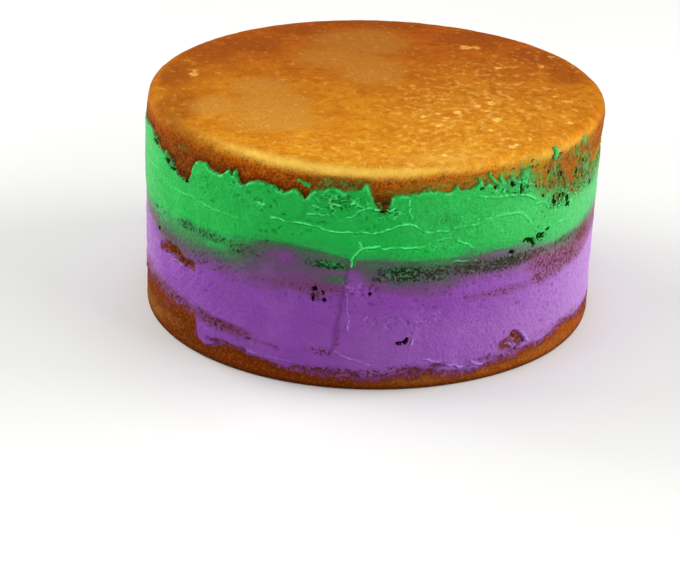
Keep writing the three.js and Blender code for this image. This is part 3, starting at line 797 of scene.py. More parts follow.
def skin_offset(azimuth, height, relief):
    """How far the icing's face stands out from the crust."""
    left, right = turned(azimuth)
    bumps = sum(rise * side_noise(azimuth, height, *layer) for rise, *layer in SKIN_RELIEF)
    crinkles = CRINKLE_RISE * side_noise(azimuth, height, 1.6, 11, stretch=1.4)
    crinkles = crinkles * zone_amount(azimuth, height, CRINKLE_ZONES)
    layer = OVERLAP_STEP * second_pass(azimuth, height)
    thinner = THINNER_RIGHT * right + THINNER_LEFT * left
    return SKIN - thinner + bumps + crinkles + layer + relief


def edge_distance(azimuth, height, line, inside):
    """Distance in from an edge line through the columns, negative on its bare side, where
    inside is 1 for icing above the line and -1 for icing below it."""
    around = azimuth[:, 0] * MM_PER_DEGREE
    full_turn = 360.0 * MM_PER_DEGREE
    best = np.full(height.shape, FAR)
    for shift in range(-EDGE_REACH, EDGE_REACH):
        ends = []
        for k in (shift, shift + 1):
            gap = (np.roll(around, k) - around + full_turn / 2.0) % full_turn - full_turn / 2.0
            ends.append((gap[:, None], np.roll(line, k)[:, None] - height))
        (u0, v0), (u1, v1) = ends
        du, dv = u1 - u0, v1 - v0
        t = np.clip(-(u0 * du + v0 * dv) / (du * du + dv * dv), 0.0, 1.0)
        best = np.minimum(best, np.hypot(u0 + t * du, v0 + t * dv))
    return np.where(inside * (height - line[:, None]) > 0.0, best, -best)


# Meshes and the paints on them

def column_azimuths(count):
    """Azimuths round the whole cake, closer together on the side that shows."""
    turn = np.linspace(-180.0, 180.0, 3601)
    share = 1.0 - (1.0 - BACK_SHARE) * smooth(SEEN_TURN, SEEN_TURN + SEEN_FADE, np.abs(turn))
    reached = np.concatenate([[0.0], np.cumsum(0.5 * (share[1:] + share[:-1]))])
    return np.interp(np.linspace(0.0, reached[-1], count, endpoint=False), reached, turn)


def grid_faces(columns, rows, wrap_rows):
    """Quads of a grid whose columns close round the cake, facing out."""
    column = np.arange(columns)[:, None]
    row = np.arange(rows if wrap_rows else rows - 1)[None, :]
    next_column = (column + 1) % columns
    next_row = (row + 1) % rows
    corners = [column * rows + row, next_column * rows + row]
    corners += [next_column * rows + next_row, column * rows + next_row]
    return np.stack(np.broadcast_arrays(*corners), axis=-1).reshape(-1, 4).tolist()


def make_piece(name, points, faces, material, paints=None):
    """A smooth mesh object at the origin from points in millimetres."""
    mesh = bpy.data.meshes.new(name)
    mesh.from_pydata((points * MM).tolist(), [], faces)
    mesh.validate()
    mesh.shade_smooth()
    for paint, values in (paints or {}).items():
        attribute = mesh.attributes.new(paint, "FLOAT", "POINT")
        attribute.data.foreach_set("value", values.astype(np.float32).ravel())
    mesh.materials.append(material)
    piece = bpy.data.objects.new(name, mesh)
    bpy.context.collection.objects.link(piece)
    return piece


def smear_blend(azimuth, height):
    """0 in clean green and 1 in clean purple, by the smear's four lines."""
    lines = [value_at(SMEAR, azimuth, column) for column in range(1, 5)]
    lines = [lines[0] + SMEAR_CLEAN, *lines, lines[3] - SMEAR_CLEAN]
    blend = np.zeros(azimuth.shape)
    for upper, lower, share, next_share in zip(lines, lines[1:], SMEAR_SHARES, SMEAR_SHARES[1:]):
        blend += (next_share - share) * np.clip((upper - height) / (upper - lower), 0.0, 1.0)
    return blend


def sheen_amount(azimuth, height):
    """Where the icing is painted paler as a sheen: at the cake's sides and in patches toward the
    light.
    """
    shown = 1.0 - smooth(*SHOWN_ENDS, np.abs(azimuth))
    pale = shown * (smooth(*PALE_RIGHT, azimuth) + 0.8 * smooth(*PALE_LEFT, -azimuth))
    for amount, heights, first, last in PALE_PATCHES:
        pale = pale + amount * smooth(*heights, height) * smooth(*first, azimuth) * smooth(*last, azimuth)
    return pale * (1.0 - 0.5 * spot(azimuth, height, *DEEP_PATCH))


def icing_paints(azimuth, height):
    """Where the icing is smeared, crumby, stained, and painted paler as a sheen at the sides."""
    streaks = side_noise(azimuth, height, 1.6, 12, stretch=5.0)
    clouds = side_noise(azimuth, height, 5.0, 13, stretch=1.6)
    calm = spot(azimuth, height, *CALM_SMEAR)
    blend = smear_blend(azimuth, height + (0.8 * streaks + 0.9 * clouds) * (1.0 - 0.85 * calm))
    for *zone, shift in SMEAR_SHIFTS:
        blend = blend + shift * spot(azimuth, height, *zone) * (1.0 + 0.6 * clouds)
    crumbs, redness = np.zeros(azimuth.shape), np.zeros(azimuth.shape)
    for *zone, amount, red in CRUMB_ZONES:
        here = amount * spot(azimuth, height, *zone)
        redness = np.where(here > crumbs, red, redness)
        crumbs = np.maximum(crumbs, here)
    streaked = height + 0.8 * streaks
    stain = zone_amount(azimuth, streaked, STAINS) * (0.75 + 0.5 * streaks)
    return {
        "blend": np.clip(blend, 0.0, 1.0),
        "crumbs": crumbs,
        "redness": redness,
        "stain": np.clip(stain, 0.0, 1.0),
        "dusk": zone_amount(azimuth, streaked, DUSK_ZONES) * (0.85 + 0.4 * clouds),
        # Painted sheen: the icing paler at the cake's sides and in patches toward the light
        "edge": sheen_amount(azimuth, height),
        "rough": spot(azimuth, height, *ROUGH_PATCH),
    }


def cover_amount(azimuth, inward, fringe):
    """1 well inside the icing and 0 out on the bare crust, across the fringe of its edge,
    whose widths inside and outside are the last two columns of its table."""
    widths = [value_at(fringe, azimuth, column) for column in (-2, -1)]
    return 0.5 + 0.5 * np.clip(inward / np.where(inward > 0.0, *widths), -1.0, 1.0)


def worn_cover(azimuth, height, cover, scraps):
    """The cover with loose scraps added outside it, and worn zones and strips taken out."""
    a, z = wobble(azimuth, height)
    cover = np.maximum(cover, zone_amount(azimuth, height, scraps))
    cover = np.minimum(cover, 1.0 - zone_amount(azimuth, height, WORN_ZONES))
    blurred = 0.35 * side_noise(azimuth, height, 2.6, 41, stretch=1.8)
    for amount, half_width, path in WORN_LINES:
        off = path_distance(a, z, path, STRIP_REACH) / half_width
        cover = np.minimum(cover, 1.0 - amount * (1.0 - smooth(0.2, 1.2, off + blurred)))
    uneven = 1.0 + 0.9 * side_noise(azimuth, height, 1.2, 8)
    for half_width, path in TORN_STRIPS:
        out = path_distance(a, z, path, STRIP_REACH) - half_width * uneven
        cover = np.minimum(cover, 0.5 + 0.5 * np.clip(out / 1.3, -1.0, 1.0))
    return cover


def lift_paint(cover):
    """What is added to the materials' noise, so that it shows icing on that share of places."""
    return 0.3 * (cover - 0.5) + 2.0 * (cover - 0.5) ** 3


def icing_face(azimuth, height, edge, strips):
    """Height of the icing over the crust, under it where the crust is bare, and its paints."""
    inward, cover = edge
    relief, paints = skin_marks(azimuth, height)
    crisp = smooth(0.75, 1.0, cover) * hill(np.maximum(inward, LIP_PLACE), LIP_PLACE, LIP_WIDTH)
    lip = LIP * crisp * (0.6 + 0.8 * side_noise(azimuth, height, 2.5, 14))
    full = np.maximum(skin_offset(azimuth, height, relief) + lip, LEAST_SKIN)
    full = FLAKE + (full - FLAKE) * smooth(0.5, 0.95, cover)
    torn = side_noise(azimuth, height, 1.7, 17) + 0.7 * side_noise(azimuth, height, 0.9, 18)
    sheet = smooth(0.38, 0.62, cover + 1.6 * cover * (1.0 - cover) * torn)
    face = full * sheet - SUNK * (1.0 - sheet)
    a, z = wobble(azimuth, height)
    for rise, half_width, path in strips:
        inside = 1.0 - smooth(0.7, 1.4, path_distance(a, z, path, SCRAP_REACH) / half_width + 0.4 * torn)
        face = np.maximum(face, (rise + SUNK) * inside - SUNK)
        cover = np.maximum(cover, inside)
    paints["lift"] = lift_paint(cover)
    paints["worn"] = 1.0 - smooth(0.5, 1.0, cover)
    # Along the crisp torn edge a painted highlight runs over the lip
    paints["lip"] = crisp
    paints["torn"] = zone_amount(azimuth, height, TORN_ZONES)
    return face, {**paints, **icing_paints(azimuth, height)}


def band_piece(name, low, high, edge, strips, rows, material):
    """A band of icing: its face up, over the upper edge and down its back in the crust."""
    azimuth = column_azimuths(BAND_COLUMNS)
    low_line, high_line = value_at(low, azimuth)[:, None], value_at(high, azimuth)[:, None]
    heights = low_line + (high_line - low_line) * np.linspace(0.0, 1.0, rows)[None, :]
    grid_a = np.broadcast_to(azimuth[:, None], heights.shape)
    face, paints = icing_face(grid_a, heights, edge(grid_a, heights), strips)
    plain, grained = crust_side(grid_a, heights)
    smoothed = smooth(0.2, 0.9, face)
    outside = on_cylinder(grid_a, grained + (plain - grained) * smoothed + face, heights)
    back_z = low_line + (high_line - low_line) * np.linspace(1.0, 0.0, BACK_ROWS)[None, :]
    back_a = np.broadcast_to(azimuth[:, None], back_z.shape)
    back = on_cylinder(back_a, crust_side(back_a, back_z)[0] - BACK_DEPTH, back_z)
    points = np.concatenate([outside, back], axis=1)
    padding = ((0, 0), (0, BACK_ROWS))
    paints = {key: np.pad(value, padding, mode="edge") for key, value in paints.items()}
    faces = grid_faces(BAND_COLUMNS, rows + BACK_ROWS, True)
    return make_piece(name, points.reshape(-1, 3), faces, material, paints)


def torn_line(points, azimuth, teeth_sizes, layer):
    """An edge line with small crumbs and teeth added."""
    height = value_at(points, azimuth)
    teeth = side_noise(azimuth, height, 2.6, layer) + 0.7 * side_noise(azimuth, height, 1.1, layer + 1)
    size = value_at(teeth_sizes, azimuth)
    return height + size * (teeth + 0.5 * side_noise(azimuth, height, 0.7, layer + 2))


def torn_edge(azimuth, height, line, inside, fringe, scraps):
    """Distance in from a torn edge line of the columns, and the icing's cover there."""
    inward = edge_distance(azimuth, height, line, inside)
    return inward, worn_cover(azimuth, height, cover_amount(azimuth, inward, fringe), scraps)


def green_edge(azimuth, height):
    """The green band's torn upper edge."""
    line = torn_line(GREEN_TOP, azimuth[:, 0], GREEN_TEETH, GREEN_TEETH_LAYER)
    return torn_edge(azimuth, height, line, -1.0, GREEN_FRINGE, GREEN_SCRAPS)


def purple_edge(azimuth, height):
    """The purple band's torn lower edge."""
    line = torn_line(PURPLE_BOTTOM, azimuth[:, 0], PURPLE_TEETH, PURPLE_TEETH_LAYER)
    return torn_edge(azimuth, height, line, 1.0, PURPLE_BOTTOM, PURPLE_SCRAPS)


def crust_profile():
    """Rows from the bottom's middle to the top's, as radius, height, outward and upward
    direction, and distance down the profile from the start of the rounded edge."""
    shoulder = CAKE_HEIGHT - TOP_ROUND
    edge_length = TOP_ROUND * math.pi / 2.0
    rows = [(radius, 0.0, 0.0, -1.0, FAR) for radius in (0.0, BOTTOM_ROW)]
    for turn in np.radians([0.0, 30.0, 60.0, 90.0]):
        out = FOOT_ROUND * math.sin(turn)
        up = FOOT_ROUND * (1.0 - math.cos(turn))
        down = edge_length + shoulder - up
        rows.append((CAKE_RADIUS - FOOT_ROUND + out, up, math.sin(turn), -math.cos(turn), down))
    for start, end, step in SIDE_ROWS:
        for z in np.arange(start, end, step):
            rows.append((CAKE_RADIUS, z, 1.0, 0.0, edge_length + shoulder - z))
    for turn in np.radians(np.linspace(0.0, 90.0, EDGE_TURNS)):
        out, up = math.cos(turn), math.sin(turn)
        radius = CAKE_RADIUS - TOP_ROUND * (1.0 - out)
        rows.append((radius, shoulder + TOP_ROUND * up, out, up, edge_length - TOP_ROUND * turn))
    edge = CAKE_RADIUS - TOP_ROUND
    radius, step = edge, TOP_STEP
    while radius - step > TOP_LAST_ROW:
        radius -= step
        step *= TOP_STEP_GROWTH
        rows.append((radius, CAKE_HEIGHT, 0.0, 1.0, radius - edge))
    rows.append((0.0, CAKE_HEIGHT, 0.0, 1.0, -edge))
    return np.array(rows)


def top_paints(x, y, down):
    """Where the baked top is tan, darker, bright or pale."""
    wave = top_noise(x, y, 17.0, 3.5, shift=5.0)
    ragged = top_noise(x, y, 6.0, 1.5, shift=9.0)
    tan = zone_amount(x, y, TAN_SPOTS, TOP_SPOT_FADE)
    dark = zone_amount(x, y, DARK_SPOTS, TOP_SPOT_FADE)
    bent_x = x + 1.6 * top_noise(x, y, 2.6, 11.5)
    bent_y = y + 2.0 * top_noise(x, y, 2.6, 21.5)
    density = sum(zone_amount(x, y, [zone], TOP_SPOT_FADE) for zone in FLECKED_SPOTS)
    return {
        "front": smooth(85.0, -110.0, y + 5.0 * wave),
        "tan": smooth(0.0, 1.0, tan + 0.15 * wave + 0.1 * ragged),
        "dark": smooth(0.05, 0.9, dark + 0.25 * wave + 0.12 * ragged),
        "pale": zone_amount(bent_x, bent_y, PALE_SPOTS, TOP_SPOT_FADE),
        "pale_density": np.clip(density, 0.0, 1.0),
        "side": smooth(4.0, 8.5, down + 0.8 * ragged),
    }


def rim_paint(azimuth, down):
    """The pale strip along the rounded edge, partly paler crust and partly a painted highlight,
    with a further painted highlight on the front rim.
    """
    centre = value_at(RIM_STRIP, azimuth) + 0.5 * side_noise(azimuth, down, 9.0, 32)
    strength = value_at(RIM_STRIP, azimuth, 2)
    strip = strength * hill(down, centre, STRIP_WIDTH + STRIP_WIDER * strength)
    amount, at, half_width, depth, half_depth = RIM_HIGHLIGHT
    return np.maximum(strip, amount * hill(azimuth, at, half_width) * hill(down, depth, half_depth))


def film_paints(azimuth, z, down):
    """Where the crust's side is stained by icing, torn rough, in painted shade, low, or painted
    lighter as lit.
    """
    above_floor = z > ABOVE_FLOOR
    on_side = smooth(*MARKS_BEGIN, down) * above_floor
    raised = FILMS_HIGHER * smooth(*FILMS_HIGHER_FROM, azimuth)
    below_strip = smooth(*FILMS_BEGIN, down + raised) * above_floor
    edges = zip(green_edge(azimuth, z), purple_edge(azimuth, z))
    inward, cover = (np.where(z > MIDDLE, green, purple) for green, purple in edges)
    cover = cover * below_strip
    crevice = hill(np.minimum(inward, 0.0), 0.0, CREVICE_WIDTH) * smooth(0.35, 0.1, cover)
    crevice = np.maximum(crevice, zone_amount(azimuth, z, SHADE_ZONES))
    # Painted shade at the crust's left side, half as strong far round to the left
    left_shade = smooth(*SIDE_SHADE_LEFT, -azimuth) * (1.0 - 0.5 * smooth(*SIDE_SHADE_LEFT_EASES, -azimuth))
    return {
        "lift": lift_paint(cover),
        "soaked": smooth(0.02, 0.3, cover),
        "gold": on_side * zone_amount(azimuth, z, GOLD_ZONES),
        "crevice": crevice * on_side,
        "rough": on_side * spot(azimuth, z, *ROUGH_PATCH),
        "depth": np.clip(down / SIDE_RAMP, 0.0, 1.0),
        # The crust painted lighter toward its lit right, and darker as shade at its sides
        "painted_lit_side": smooth(*LIT_SIDE_BEGINS, azimuth) * smooth(*LIT_SIDE_ENDS, azimuth),
        "side_shade": smooth(*SIDE_SHADE_BEGINS, down) * (left_shade + 0.7 * smooth(*SIDE_SHADE_RIGHT, azimuth)),
        **{name: smooth(*heights, z) for name, heights in HEIGHT_PAINTS.items()},
    }


def crust_piece(material):
    """The whole cake's baked surface."""
    profile = crust_profile()
    inner = profile[1:-1]
    rows = len(inner)
    shape = (CRUST_COLUMNS, rows)
    azimuth = np.broadcast_to(column_azimuths(CRUST_COLUMNS)[:, None], shape)
    radius, z, out, up, down = (np.broadcast_to(inner[:, k], shape) for k in range(5))
    share = (radius / CAKE_RADIUS) ** 6
    x, y = level_place(azimuth, radius)
    grain = crust_grain(azimuth, radius, z)
    places = on_cylinder(azimuth, radius + share * crust_relief(azimuth, z) + out * grain, z)
    swell = TOP_WAVE * top_noise(places[..., 0], places[..., 1], TOP_WAVE_LENGTH, SEED)
    places[..., 2] += up * grain + np.where(z < CAKE_HEIGHT, 0.0, (1.0 - share) * swell)
    ends = settle(np.zeros(2), np.zeros(2), np.array([0.0, CAKE_HEIGHT]))
    points = np.concatenate([places.reshape(-1, 3), ends])
    faces = grid_faces(CRUST_COLUMNS, rows, False)
    bottom = CRUST_COLUMNS * rows
    for column in range(CRUST_COLUMNS):
        after = (column + 1) % CRUST_COLUMNS
        faces.append([bottom, after * rows, column * rows])
        faces.append([bottom + 1, column * rows + rows - 1, after * rows + rows - 1])
    paints = {**top_paints(x, y, down), **film_paints(azimuth, z, down)}
    # The rim strip: partly paler crust and partly a painted highlight
    paints["strip"] = rim_paint(azimuth, down)
    paints = {key: np.append(value.ravel(), [0.0, value[0, -1]]) for key, value in paints.items()}
    return make_piece("baked_crust", points, faces, material, paints)


# Materials

def linear(colour):
    """Linear colour with alpha from a hex string."""
    values = [int(colour[k:k + 2], 16) / 255.0 for k in (1, 3, 5)]
    values = [v / 12.92 if v <= 0.04045 else ((v + 0.055) / 1.055) ** 2.4 for v in values]
    return (*values, 1.0)


class Result:
    """A result of one of a graph's nodes. Working with it adds further nodes."""

    def __init__(self, graph, socket):
        self.graph = graph
        self.socket = socket

    def __add__(self, other):
        return self.graph.math("ADD", self, other)

    def __sub__(self, other):
        return self.graph.math("SUBTRACT", self, other)

    def __mul__(self, other):
        return self.graph.math("MULTIPLY", self, other)

    def about(self, size):
        """Its part above and below one half, times a size."""
        return (self - 0.5) * size

    def remap(self, low, high, to_low=0.0, to_high=1.0):
        """Its span from low to high brought to another, with an easy curve."""
        spans = {"Value": self, "From Min": low, "From Max": high, "To Min": to_low, "To Max": to_high}
        return self.graph.node("MapRange", "Result", spans, interpolation_type="SMOOTHSTEP")

    def mix(self, first, second):
        """The first colour where it is 0 and the second where it is 1."""
        return self.graph.node("Mix", 2, {0: self, 6: first, 7: second}, data_type="RGBA")

    def ramp(self, *stops):
        """A colour that changes with it, given as places and colours in turn."""
        node = self.graph.nodes.new("ShaderNodeValToRGB")
        elements = node.color_ramp.elements
        while len(elements) < len(stops) // 2:
            elements.new(0.5)
        for element, at, colour in zip(elements, stops[::2], stops[1::2]):
            element.position = at
            element.color = linear(colour)
        self.graph.feed(node.inputs, {"Fac": self})
        return Result(self.graph, node.outputs["Color"])


class Graph:
    """A material's nodes, with short calls for the ones used here."""

    def __init__(self, name):
        self.material = bpy.data.materials.new(name)
        self.material.use_nodes = True
        self.nodes = self.material.node_tree.nodes
        self.links = self.material.node_tree.links
        self.nodes.clear()
        self.place = self.node("TexCoord", "Object", {})
        self.shader = self.nodes.new("ShaderNodeBsdfPrincipled")
        output = self.nodes.new("ShaderNodeOutputMaterial")
        self.links.new(self.shader.outputs["BSDF"], output.inputs["Surface"])

    def feed(self, sockets, values):
        """Each named socket is linked, or set where its value is a number or a colour."""
        for name, value in values.items():
            if isinstance(value, Result):
                self.links.new(value.socket, sockets[name])
            else:
                sockets[name].default_value = linear(value) if isinstance(value, str) else value

    def node(self, kind, result, values, **settings):
        """A new node's result, with its settings and the values of its sockets."""
        node = self.nodes.new("ShaderNode" + kind)
        for setting, value in settings.items():
            setattr(node, setting, value)
        self.feed(node.inputs, values)
        return Result(self, node.outputs[result])

    def math(self, operation, first, second=0.0):
        return self.node("Math", "Value", {0: first, 1: second}, operation=operation)

    def paint(self, name):
        return self.node("Attribute", "Fac", {}, attribute_name=name)

    def noise(self, size, detail=3.0, stretch=(1.0, 1.0, 1.0), roughness=0.5, shift=0.0):
        """Noise with hills of that many millimetres, longer along an axis by its stretch."""
        scale = [1.0 / (size * MM * s) for s in stretch]
        place = {"Vector": self.place, "Location": (shift, shift, shift), "Scale": scale}
        place = self.node("Mapping", "Vector", place)
        look = {"Vector": place, "Scale": 1.0, "Detail": detail, "Roughness": roughness}
        return self.node("TexNoise", "Fac", look)

    def bumps(self, *layers):
        """Bumps over each other, each a texture, a height in millimetres and a strength."""
        below = {}
        for texture, height, strength in layers:
            values = {"Strength": strength, "Distance": height * MM, "Height": texture, **below}
            below = {"Normal": self.node("Bump", "Normal", values)}
        return below["Normal"]

    def surface(self, **values):
        """The finished material, with the shader's sockets fed."""
        self.feed(self.shader.inputs, {name.replace("_", " "): value for name, value in values.items()})
        return self.material


def layered(colour, *layers):
    """A colour with others laid over it in turn, each by its share."""
    for share, over in layers:
        colour = share.mix(colour, over)
    return colour


def covered(graph, fine):
    """1 where icing covers the crust and 0 where it does not, in specks along its edges."""
    coarse = graph.noise(2.8, detail=2, stretch=(1.0, 1.0, 1.8), shift=15.0)
    mixed = (graph.paint("rough") * 0.35 + 0.3).mix(fine, coarse)
    return (mixed + graph.paint("lift")).remap(0.465, 0.535)


def crumbs_over(graph, colour):
    """Dark and a few light crumbs in the icing, dense where it is painted so."""
    crumbs = graph.paint("crumbs")
    redness = graph.paint("redness")
    dark = redness.mix("#0B1A06", "#521826")
    bits = graph.noise(1.25, roughness=0.65, shift=4.0)
    dots = (bits + crumbs * 0.24).remap(0.675, 0.725)
    spots = (bits + crumbs * -0.1).remap(0.35, 0.29) * graph.paint("stain").remap(0.1, 0.5, 0.6, 0.0)
    return layered(
        colour,
        (crumbs * 0.3, dark),
        (dots * 0.92, dark),
        (spots * crumbs, redness.mix("#3F8A40", "#9A5C7A")),
    )


def curls_over(graph, colour, bright, shaded):
    """Thin crinkles, each with a painted highlight on top and painted shade below, where the
    icing is painted so.
    """
    level = graph.noise(3.6, detail=2, stretch=(1.5, 1.5, 1.0), shift=21.0).about(10.0)
    crest = level.remap(-0.25, 0.0) * level.remap(0.35, 0.0)
    trough = level.remap(-0.9, -0.55) * level.remap(-0.2, -0.5)
    zone = graph.paint("curls") * graph.noise(3.0, detail=2, shift=23.0).remap(0.4, 0.54)
    return layered(colour, (trough * (zone * 0.85), shaded), (crest * (zone * 0.8), bright))


def lines_over(graph, colour, bright, shaded):
    """Painted highlights on thin ridges with painted shade below them, painted shade along
    grooves, and a painted highlight on the torn lip.
    """
    distance = graph.paint("line")
    mark = graph.paint("mark")
    width = graph.noise(2.4, detail=2, shift=11.0).remap(0.35, 0.65, 0.0, 0.28)
    core = (graph.math("ABSOLUTE", distance) - width).remap(0.42, 0.0)
    under = distance.remap(-1.2, -0.6) * distance.remap(-0.25, -0.5)
    lip = graph.paint("lip") * graph.paint("blend").remap(0.5, 0.2, 0.0, 0.8)
    lip = lip * graph.noise(2.8, detail=2, shift=17.0).remap(0.42, 0.56)
    return layered(
        colour,
        (under * mark.remap(0.1, 1.0, 0.0, 0.55), shaded),
        (core * mark.remap(0.05, 1.1, 0.0, 0.9), bright),
        (core * mark.remap(-0.1, -0.8, 0.0, 0.8), shaded),
        (lip, bright),
    )


def smeared_colour(graph, blend, drag, hairs, fine):
    """Clean green to clean purple through the greys between, dragged and speckled, and painted
    paler as a sheen at the cake's sides.
    """
    speckled = blend.ramp(0.1, "#000000", 0.4, "#BBBBBB", 0.7, "#BBBBBB", 0.98, "#000000")
    moved = blend + drag.about(0.22) + hairs.about(0.3) + fine.about(0.9) * speckled
    colour = moved.ramp(0.02, "#0FA83F", 0.2, "#248C44", 0.38, "#3A6442", 0.54, "#4D5053",
                        0.7, "#604265", 0.86, "#703C7C", 1.0, "#803E9C")
    pale = blend.ramp(0.1, "#2FC05A", 0.5, "#566456", 0.9, "#9A5AB4")
    far = blend.ramp(0.2, "#50AE66", 0.5, "#7D8583", 0.8, "#A678B6")
    clouds = graph.noise(13.0).remap(0.4, 0.8, 0.0, 0.35)
    # A painted sheen at the cake's sides
    return layered(colour, (clouds, pale), (graph.paint("edge"), far))


def bare_colour(graph, blend, drag, fine):
    """The crust where the icing is torn off it: browner high up and redder low down."""
    high = drag.remap(0.4, 0.6).mix("#7A480F", "#3A4412")
    torn = graph.paint("torn").mix("#6C2C22", "#A05A14")
    low = fine.remap(0.42, 0.58).mix(torn, "#5A2030")
    return blend.remap(0.4, 0.6).mix(high, low)


def icing_material(name):
    """Buttercream scraped thin: green and purple, smeared into each other, with crumbs, and with
    painted highlights and shade on its lines, crinkles, dents and holes.
    """
    graph = Graph(name)
    blend = graph.paint("blend")
    drag = graph.noise(2.6, detail=4, stretch=(5.0, 5.0, 1.0), shift=9.0)
    hairs = graph.noise(0.9, stretch=(9.0, 9.0, 1.0), shift=12.0)
    fine = graph.noise(1.15, roughness=0.6, shift=5.0)
    grain = graph.noise(1.2, roughness=0.6, shift=2.0)
    lumps = graph.noise(2.2, stretch=(1.6, 1.6, 1.0), shift=5.0)
    # Colours of painted highlight and painted shade, of worn icing, and of the dark painted into holes as
    # shade
    bright = blend.ramp(0.35, "#4EF080", 0.75, "#A980CC")
    shaded = blend.ramp(0.3, "#0A5A22", 0.5, "#2C3426", 0.7, "#4E1F63")
    worn = blend.ramp(0.3, "#4C762C", 0.7, "#642E62")
    pit = blend.ramp(0.3, "#0A2604", 0.7, "#1E0420")
    holes = graph.paint("hole") + graph.noise(0.9, detail=2, shift=3.0).about(1.6)
    colour = layered(
        smeared_colour(graph, blend, drag, hairs, fine),
        # Fine specks of painted shade, more at the sides, and shade painted into dents
        (fine.remap(0.4, 0.8) * (graph.paint("edge") * 0.16 + 0.18), shaded),
        (graph.paint("dent") * 0.5, shaded),
        (graph.paint("stain") * 0.8, "#40340C"),
        (graph.paint("dusk"), "#742C3C"),
        (graph.paint("worn") * 0.85, worn),
    )
    colour = lines_over(graph, crumbs_over(graph, colour), bright, shaded)
    colour = curls_over(graph, colour, bright, shaded)
    colour = covered(graph, fine).mix(bare_colour(graph, blend, drag, fine), colour)
    return graph.surface(
        Base_Color=holes.remap(-0.12, 0.05).mix(colour, pit),
        Roughness=drag.remap(0.3, 0.7, 0.42, 0.58),
        Subsurface_Weight=0.1,
        Subsurface_Radius=(1.0, 0.9, 0.8),
        Subsurface_Scale=1.0 * MM,
        Specular_IOR_Level=holes.remap(-0.2, 0.05, 0.12, 0.0),
        Normal=graph.bumps((grain, 0.6, 1.0), (lumps, 0.9, 0.9), (hairs, 0.25, 0.8)),
    )


def top_colour(graph, mottle, scatter):
    """The baked top: tan and orange mottles with pale flecks."""
    front = graph.paint("front")
    darker = front.mix("#91450F", "#C2700F")
    flecks = graph.noise(3.0, detail=1.8, stretch=(1.1, 1.35, 1.0), shift=21.0)
    bits = (flecks + graph.paint("pale_density") * 0.12).remap(0.56, 0.86, 0.0, 0.48)
    named = (graph.paint("pale") * 1.2 + scatter.about(2.2)).remap(0.4, 1.1, 0.0, 0.85)
    return layered(
        front.mix("#A95412", "#DA931F"),
        (graph.noise(18.0, shift=7.0).remap(0.35, 0.7, 0.0, 0.6), darker),
        (mottle.remap(0.42, 0.7, 0.0, 0.8), darker),
        (graph.paint("dark") * 0.6, "#8A4112"),
        (graph.paint("tan") * 0.8, front.mix("#A96A26", "#CB8D34")),
        (graph.math("MAXIMUM", bits, named), front.mix("#E0A048", "#F6CA62")),
    )


def side_colour(graph, mottle, scatter, grain):
    """The browned side: darker toward the foot, painted lighter toward its lit right, specked,
    golden in places, painted dark as shade along the very foot, torn in one.
    """
    light = graph.paint("painted_lit_side")
    foot = graph.paint("foot")
    rough = graph.paint("rough")
    depth = graph.paint("depth").ramp(0.15, "#CC7E12", 0.19, "#BC640A", 0.24, "#A44A04",
                                      0.31, "#8C3D05", 0.45, "#7A3808", 0.7, "#7C3A08")
    golden = graph.noise(2.2, detail=4, stretch=(1.6, 1.6, 1.0), roughness=0.65, shift=13.0)
    strokes = graph.noise(2.2, stretch=(1.0, 1.0, 3.0), shift=18.0)
    torn = graph.noise(1.6, stretch=(1.0, 1.0, 2.6), shift=8.0)
    return layered(
        depth,
        # The lit side painted lighter, the foot's colour too
        (light * 0.75, "#A05C12"),
        (foot, light.mix("#6C2A06", "#8A4312")),
        (mottle.remap(0.42, 0.68, 0.0, 0.45), "#5C2805"),
        (golden.remap(0.5, 0.68) * foot.remap(0.0, 1.0, 0.5, 0.1), "#B4701C"),
        (scatter.remap(0.45, 0.3, 0.0, 0.4), "#481C04"),
        (grain.remap(0.5, 0.62, 0.0, 0.65), "#4C1C04"),
        (grain.remap(0.47, 0.37, 0.0, 0.55) * foot.remap(0.0, 1.0, 1.0, 0.55), "#B8681C"),
        (graph.paint("gold") * golden.remap(0.35, 0.6, 0.3, 0.9), "#9E6E30"),
        # Painted shade along the very foot
        (graph.paint("under") * 0.7, "#2C1206"),
        (rough * 0.5, "#8E4E1C"),
        (strokes.remap(0.49, 0.62, 0.0, 0.8) * rough, "#5C6C28"),
        (torn.remap(0.52, 0.64, 0.0, 0.8) * rough, "#46380E"),
    )


def film_over(graph, colour, scatter):
    """Icing soaked into the crust and left on it in specks, painted lighter on the lit side,
    shade beside thick icing, and dark and light specks where the sides are painted in shade.
    """
    light = graph.paint("painted_lit_side")
    rough = graph.paint("rough")
    purple = graph.paint("purple_side")
    side_shade = graph.paint("side_shade")
    fine = graph.noise(1.15, roughness=0.6, shift=5.0)
    parts = scatter.remap(0.42, 0.58)
    # Films painted lighter on the lit side
    soaked = rough.mix(light.mix("#542E0A", "#A08222"), "#8A5A20")
    soaking = graph.paint("soaked") * (purple - rough).remap(-1.0, 1.0, 0.3, 0.75)
    olive = rough.mix(light.mix("#4E5412", "#84781C"), "#465818")
    greens = parts.mix(olive, "#4C9440")
    purples = parts.mix("#6A2A3C", "#8C4A7C")
    return layered(
        colour,
        (soaking, purple.mix(soaked, "#6A2C20")),
        # Dark and light specks where the sides are painted in shade
        (fine.remap(0.5, 0.6, 0.0, 0.27) * side_shade, "#3A1404"),
        (fine.remap(0.49, 0.41, 0.0, 0.27) * side_shade, "#A45A1C"),
        (covered(graph, fine) * 0.85, purple.mix(greens, purples)),
        (graph.paint("crevice") * fine.remap(0.35, 0.6, 0.5, 0.9), "#2A1004"),
    )


